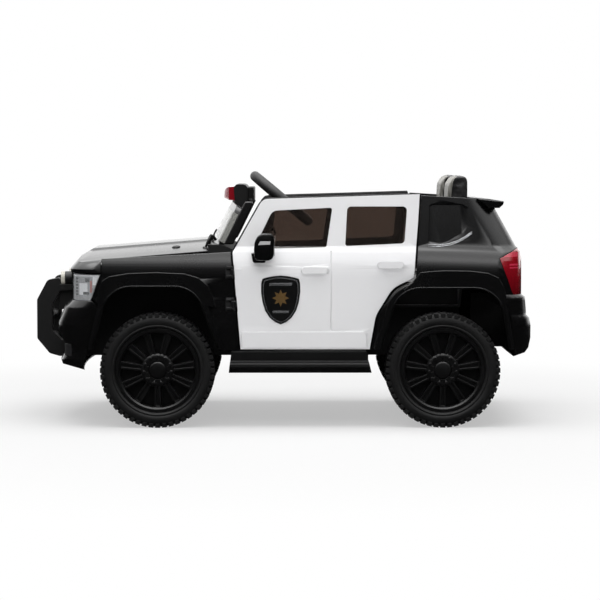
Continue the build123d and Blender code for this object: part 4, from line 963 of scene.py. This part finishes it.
SEAL_RADIUS = 0.0018
seal_line = [(HINGE_X + 0.0017, 0.4740), (HINGE_X + 0.0380, 0.5380), (HINGE_X + 0.0646, 0.5850),
             (HINGE_X + 0.0716, 0.5972), (HINGE_X + 0.0808, 0.6067), (HINGE_X + 0.0935, 0.6100),
             (0.1600, 0.6158), (DOOR_REAR + 0.0040, 0.6221)]   # along, height
seal = tube([(along, wall_y(height) + 0.0022, height) for along, height in seal_line], SEAL_RADIUS, 8)
both_hands("door_seal", seal, matt_black, "door")

spoiler_face = [(0.5221, 0.6093), (0.5535, 0.5820), (0.5735, 0.5855), (0.5925, 0.5995), (0.5900, 0.6020)]
spoiler_cheek = slab(spoiler_face, -0.3035, -0.2880, 0.0020)
both_hands("spoiler_cheek", spoiler_cheek, panel_black, "body")

BRACKET_LOW, BRACKET_HIGH = (-0.0955, -0.140, 0.6000), (-0.0770, 0.140, 0.6385)
bracket = joined(plate(BRACKET_LOW, BRACKET_HIGH, 0.0040),
                 tube([(-0.0850, -0.146, 0.6000), (-0.0850, 0.146, 0.6000)], 0.0070, 16))
piece("beacon_bracket", bracket, matt_black, "body")


# Door badge: a moulded black shield with a bright border, a bronze eight-rayed medallion and two
# plain bright bars, stuck on the door's flat waist.
SHIELD_X, SHIELD_LOW, SHIELD_HIGH = -0.0035, 0.276, 0.406
half_shield = [(0, 1.0), (0.20, 0.985), (0.38, 0.955), (0.47, 0.930), (0.50, 0.84), (0.505, 0.66), (0.47, 0.46),
               (0.40, 0.28), (0.28, 0.135), (0.14, 0.045), (0, 0.0)]   # across, up, as shares
SHIELD_WIDTH, SHIELD_TALL = 0.103, SHIELD_HIGH - SHIELD_LOW


def shield(inset):
    """Shield outline on the door, drawn in by a width."""
    middle = (SHIELD_LOW + SHIELD_HIGH) / 2
    narrow, short = 1 - 2 * inset / SHIELD_WIDTH, 1 - 2 * inset / SHIELD_TALL
    right = [(x * SHIELD_WIDTH * narrow, middle + (SHIELD_LOW + up * SHIELD_TALL - middle) * short)
             for x, up in half_shield]
    return [(SHIELD_X + x, z) for x, z in right] + [(SHIELD_X - x, z) for x, z in right[-2:0:-1]]


DOOR_FACE = -HALF_WIDTH
badge_black = finish("badge_black", gloss_rim)
bronze = clouded(80, (0.26, 0.15, 0.055, 1), (0.40, 0.25, 0.10, 1), 0.3, 0.15, {"Metallic": 0.75})
for layer, inset, proud, root, ease, material in (("badge_plate", 0, 0.0016, 0.003, 0.0005, badge_black),
                                                  ("badge_border", 0.0045, 0.0021, 0, 0, bright_trim),
                                                  ("badge_field", 0.0072, 0.0026, 0, 0, badge_black)):
    both_hands(layer, slab(shield(inset), DOOR_FACE - proud, DOOR_FACE + root, ease), material, "door")
MEDAL_Z = 0.346
RAY_TIP, RAY_ROOT = 0.0225, 0.0125
rays = []
for k in range(16):
    radius = RAY_TIP if k % 2 == 0 else RAY_ROOT
    rays.append((SHIELD_X + radius * math.sin(math.pi * k / 8), MEDAL_Z + radius * math.cos(math.pi * k / 8)))
medal = disc(0.0088, DOOR_FACE - 0.0042, DOOR_FACE, 0.0004, 28)
medal.transform(Matrix.Translation((SHIELD_X, 0, MEDAL_Z)))
both_hands("badge_medal", joined(slab(rays, DOOR_FACE - 0.0034, DOOR_FACE, 0.0003), medal),
           finish("bronze_plating", bronze), "door")
bars = joined(plate((SHIELD_X - 0.030, DOOR_FACE - 0.0032, 0.3790), (SHIELD_X + 0.030, DOOR_FACE, 0.3860), 0.0003),
              plate((SHIELD_X - 0.022, DOOR_FACE - 0.0032, 0.3060), (SHIELD_X + 0.022, DOOR_FACE, 0.3120), 0.0003))
both_hands("badge_bars", bars, bright_trim, "door")


# Fittings: socket-head screws that hold the door linings and the floor, gauges and a radio panel on
# the dashboard, a horn button, hood studs and gussets that tie the bull bar to the grille.
def landing(name, start, way):
    """Where a line meets a CAD node, and the way that face looks."""
    mesh = node[name].data
    faces = BVHTree.FromPolygons([vertex.co for vertex in mesh.vertices],
                                 [face.vertices for face in mesh.polygons])
    return faces.ray_cast(Vector(start), Vector(way))[:2]


def screw_tree():
    """A screw on each point, standing along the point's facing."""
    tree, source = new_tree("screws_on_points", {"Points": "Geometry", "Screw": "Object", "Finish": "Material"})
    head = tree.nodes.new("GeometryNodeObjectInfo")
    facing = tree.nodes.new("GeometryNodeInputNamedAttribute")
    facing.data_type = "FLOAT_VECTOR"
    facing.inputs["Name"].default_value = "facing"
    turn = tree.nodes.new("FunctionNodeAlignRotationToVector")
    turn.axis = "Y"
    tree.links.new(source.outputs["Screw"], head.inputs["Object"])
    tree.links.new(facing.outputs["Attribute"], turn.inputs["Vector"])
    plant(tree, source, source.outputs["Points"], head.outputs["Geometry"], turn.outputs[0])
    return tree


screw_profile = [(0, 0.0009), (0.0013, 0.0009), (0.0017, 0.0021), (0.0034, 0.0018), (0.0042, 0.0008),
                 (0.0042, -0.0008), (0, -0.0008)]   # radius, height
screw = bpy.data.objects.new("screw", lathe(screw_profile, 18))
scene.collection.objects.link(screw)
screws_on_points = screw_tree()
LINING_SCREWS = [(-0.090, 0.250), (0.030, 0.245), (0.150, 0.245), (-0.095, 0.445), (0.030, 0.455), (0.150, 0.455),
                 (0.270, 0.455), (0.335, 0.440)]   # along, height
FLOOR_SCREWS = [(along, across) for along in (-0.08, 0.06, 0.20, 0.56) for across in (-0.20, 0.0, 0.20)]
screw_lines = {"door_left": [("door_lining_left", (x, 0, z), (0, -1, 0)) for x, z in LINING_SCREWS],
               "door_right": [("door_lining_right", (x, 0, z), (0, 1, 0)) for x, z in LINING_SCREWS],
               "body": [("chassis_tub", (x, y, -0.1), (0, 0, 1)) for x, y in FLOOR_SCREWS]}
for body, casts in screw_lines.items():
    hits = [hit for hit in (landing(*cast) for cast in casts) if hit[0] is not None]
    points = bpy.data.meshes.new("screw_points")
    points.from_pydata([place for place, facing in hits], [], [])
    stored = points.attributes.new("facing", "FLOAT_VECTOR", "POINT")
    for value, (place, facing) in zip(stored.data, hits):
        value.vector = facing
    heads = grown(points, screws_on_points, {"Screw": screw, "Finish": bright_trim})
    piece("screws_" + body, heads, bright_trim, body)
bpy.data.objects.remove(screw)


def stuck_on(mesh, hit):
    """A mesh built along Y, stood on a landing."""
    place, facing = hit
    mesh.transform(Matrix.Translation(place) @ facing.to_track_quat("Y", "Z").to_matrix().to_4x4())
    return mesh


gauge_profile = [(0.0200, -0.001), (0.0235, -0.001), (0.0235, 0.0030), (0.0200, 0.0042)]
gauge_rims, gauge_faces = [], []
for gauge_y in (-0.205, -0.115):
    hit = landing("dashboard", (0.2, gauge_y, 0.480), (-1, 0, 0))
    gauge_rims.append(stuck_on(lathe(gauge_profile, 40), hit))
    gauge_faces.append(stuck_on(disc(0.0202, -0.001, 0.0012, 0.0002, 36), hit))
piece("gauge_rims", joined(*gauge_rims), bright_trim, "body")
piece("gauge_faces", joined(*gauge_faces), pale_plastic, "body")
radio = slab([(-0.052, -0.020), (0.052, -0.020), (0.052, 0.020), (-0.052, 0.020)], -0.001, 0.0040, 0.0012)
KEY_PITCH = 0.018
keys = joined(*[plate((x - 0.005, 0.003, -0.012), (x + 0.005, 0.0055, -0.004), 0.0006)
                for x in (KEY_PITCH * k for k in range(-2, 3))])
radio_hit = landing("dashboard", (0.2, 0.03, 0.470), (-1, 0, 0))
piece("radio_panel", stuck_on(radio, radio_hit), badge_black, "body")
piece("radio_keys", stuck_on(keys, radio_hit), pale_plastic, "body")

low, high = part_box("steering_wheel")
column = Vector((0.643, 0, 0.766))      # way that the steering column points
horn_hit = landing("steering_wheel", (low + high) / 2 + column * 0.15, -column)
horn = lathe([(0, 0.0030), (0.012, 0.0028), (0.0165, 0.0012), (0.0170, -0.001), (0, -0.001)], 36)
piece("horn_button", stuck_on(horn, horn_hit), badge_black, "steering")

hood_stud = stuck_on(lathe([(0, 0.0048), (0.0070, 0.0044), (0.0110, 0.0022), (0.0120, -0.001), (0, -0.001)], 32),
                     landing("hood", (-0.287, -0.215, 0.8), (0, 0, -1)))
both_hands("hood_stud", hood_stud, matt_black, "body")

BAR_Y = 0.120
gusset_face = [(-0.6130, 0.3640), (-0.5760, 0.3640), (-0.5760, 0.3200), (-0.5950, 0.3050), (-0.6130, 0.3000)]
gusset = slab(gusset_face, -BAR_Y - 0.007, -BAR_Y + 0.007, 0.0015)
both_hands("bar_gusset", gusset, matt_black, "body")


# Seats: foam under black imitation leather, with a pale panel on the front of each back, its flutes
# painted as stripes of shade. Two cushions lie on the seat box, and two backs with rounded tops are
# screwed to the bulkhead.
def leather(start):
    place = start.node("TexCoord", {}, {}, "Object")
    cells = start.node("TexVoronoi", {"feature": "DISTANCE_TO_EDGE"}, {"Vector": place, "Scale": 420.0}, "Distance")
    cloud = noise(start, 12, 4)
    return {
        "Base Color": start.mix(cloud, (0.010, 0.010, 0.0105, 1), (0.020, 0.020, 0.0205, 1)),
        "Roughness": 0.42 + cloud * 0.16,
        "Normal": start.node("Bump", {}, {"Strength": 0.4, "Distance": 0.0006, "Height": cells}),
    }


seat_leather = finish("black_imitation_leather", leather)
BAND_WIDE = 0.0035


def edged_leather(start):
    """Black leather with the pale panel that runs up the front of a seat back, its flutes painted as stripes of
    shade.
    """
    parts = leather(start)
    along, across, up = axes(start)
    curl = start.math("MAXIMUM", up - 0.650, 0) / 0.027
    front = 0.4305 + (up - 0.386) * 0.0985 + curl * curl * 0.020
    band = along < front + BAND_WIDE
    # painted shade: the flutes have no relief, so stripes of darker and lighter grey stand in for their shade
    flute_shade = start.math("SINE", across * (2 * math.pi / 0.0105), 0)
    grey = start.mix(0.5 + flute_shade * 0.5, (0.20, 0.195, 0.175, 1), (0.36, 0.352, 0.322, 1))
    parts["Base Color"] = start.mix(band, parts["Base Color"], grey)
    return parts


edged_seat = finish("grey_fronted_leather", edged_leather)
PAD_VOXEL = 0.005
PAD_START_IN = 0.004        # pads start this much smaller, and swell
PAD_CAP = 0.009             # most that the foam may swell
PAD_FRAMES = 20
PAD_SPARE = 0.004           # pads' reach past the CAD seat, to the sides and front
BULKHEAD_FOOT = (0.4725, 0.324)
BULKHEAD_HEAD = (0.5005, 0.600)


def pad(source):
    """Foam pad from a CAD seat solid: shrunk, remeshed, and inflated by a short cloth run."""
    low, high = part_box(source)
    thing = bpy.data.objects.new("pad", inset_copy(source, PAD_START_IN))
    scene.collection.objects.link(thing)
    remesh = thing.modifiers.new("voxels", "REMESH")
    remesh.mode = "VOXEL"
    remesh.voxel_size = PAD_VOXEL
    thing.data = applied(thing)
    thing.modifiers.clear()
    still = [vertex.co.copy() for vertex in thing.data.vertices]
    cloth = thing.modifiers.new("foam", "CLOTH")
    cloth.settings.use_pressure = True
    cloth.settings.uniform_pressure_force = 4
    cloth.settings.effector_weights.gravity = 0
    for step in range(1, PAD_FRAMES + 1):
        scene.frame_set(step)
    swollen = applied(thing)
    thing.modifiers.clear()
    thing.data = swollen
    scene.frame_set(1)
    slope = (BULKHEAD_HEAD[0] - BULKHEAD_FOOT[0]) / (BULKHEAD_HEAD[1] - BULKHEAD_FOOT[1])
    for vertex, start in zip(thing.data.vertices, still):
        moved = vertex.co - start
        if moved.length > PAD_CAP:
            moved *= PAD_CAP / moved.length
        point = start + moved
        rear = BULKHEAD_FOOT[0] + (min(point.z, BULKHEAD_HEAD[1]) - BULKHEAD_FOOT[1]) * slope
        vertex.co = (max(low.x - PAD_SPARE, min(point.x, rear - 0.0006)),
                     max(low.y - PAD_SPARE, min(point.y, high.y + PAD_SPARE)),
                     max(low.z + 0.0003, min(point.z, high.z + 0.003)))
    smooth = thing.modifiers.new("smooth", "SUBSURF")
    smooth.levels = 1
    smooth.render_levels = 1
    mesh = applied(thing)
    bpy.data.objects.remove(thing)
    mesh.shade_smooth()
    return mesh


SEAT_APART = 0.320
for part in ("cushion", "back"):
    near_pad = pad(f"seat_{part}_left")
    far_pad = near_pad.copy()
    far_pad.transform(Matrix.Translation((0, SEAT_APART, 0)))
    for hand, mesh in (("left", near_pad), ("right", far_pad)):
        soft = piece(f"pad_{part}_{hand}", mesh, edged_seat if part == "back" else seat_leather, "body")
        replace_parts(soft, f"seat_{part}_{hand}")
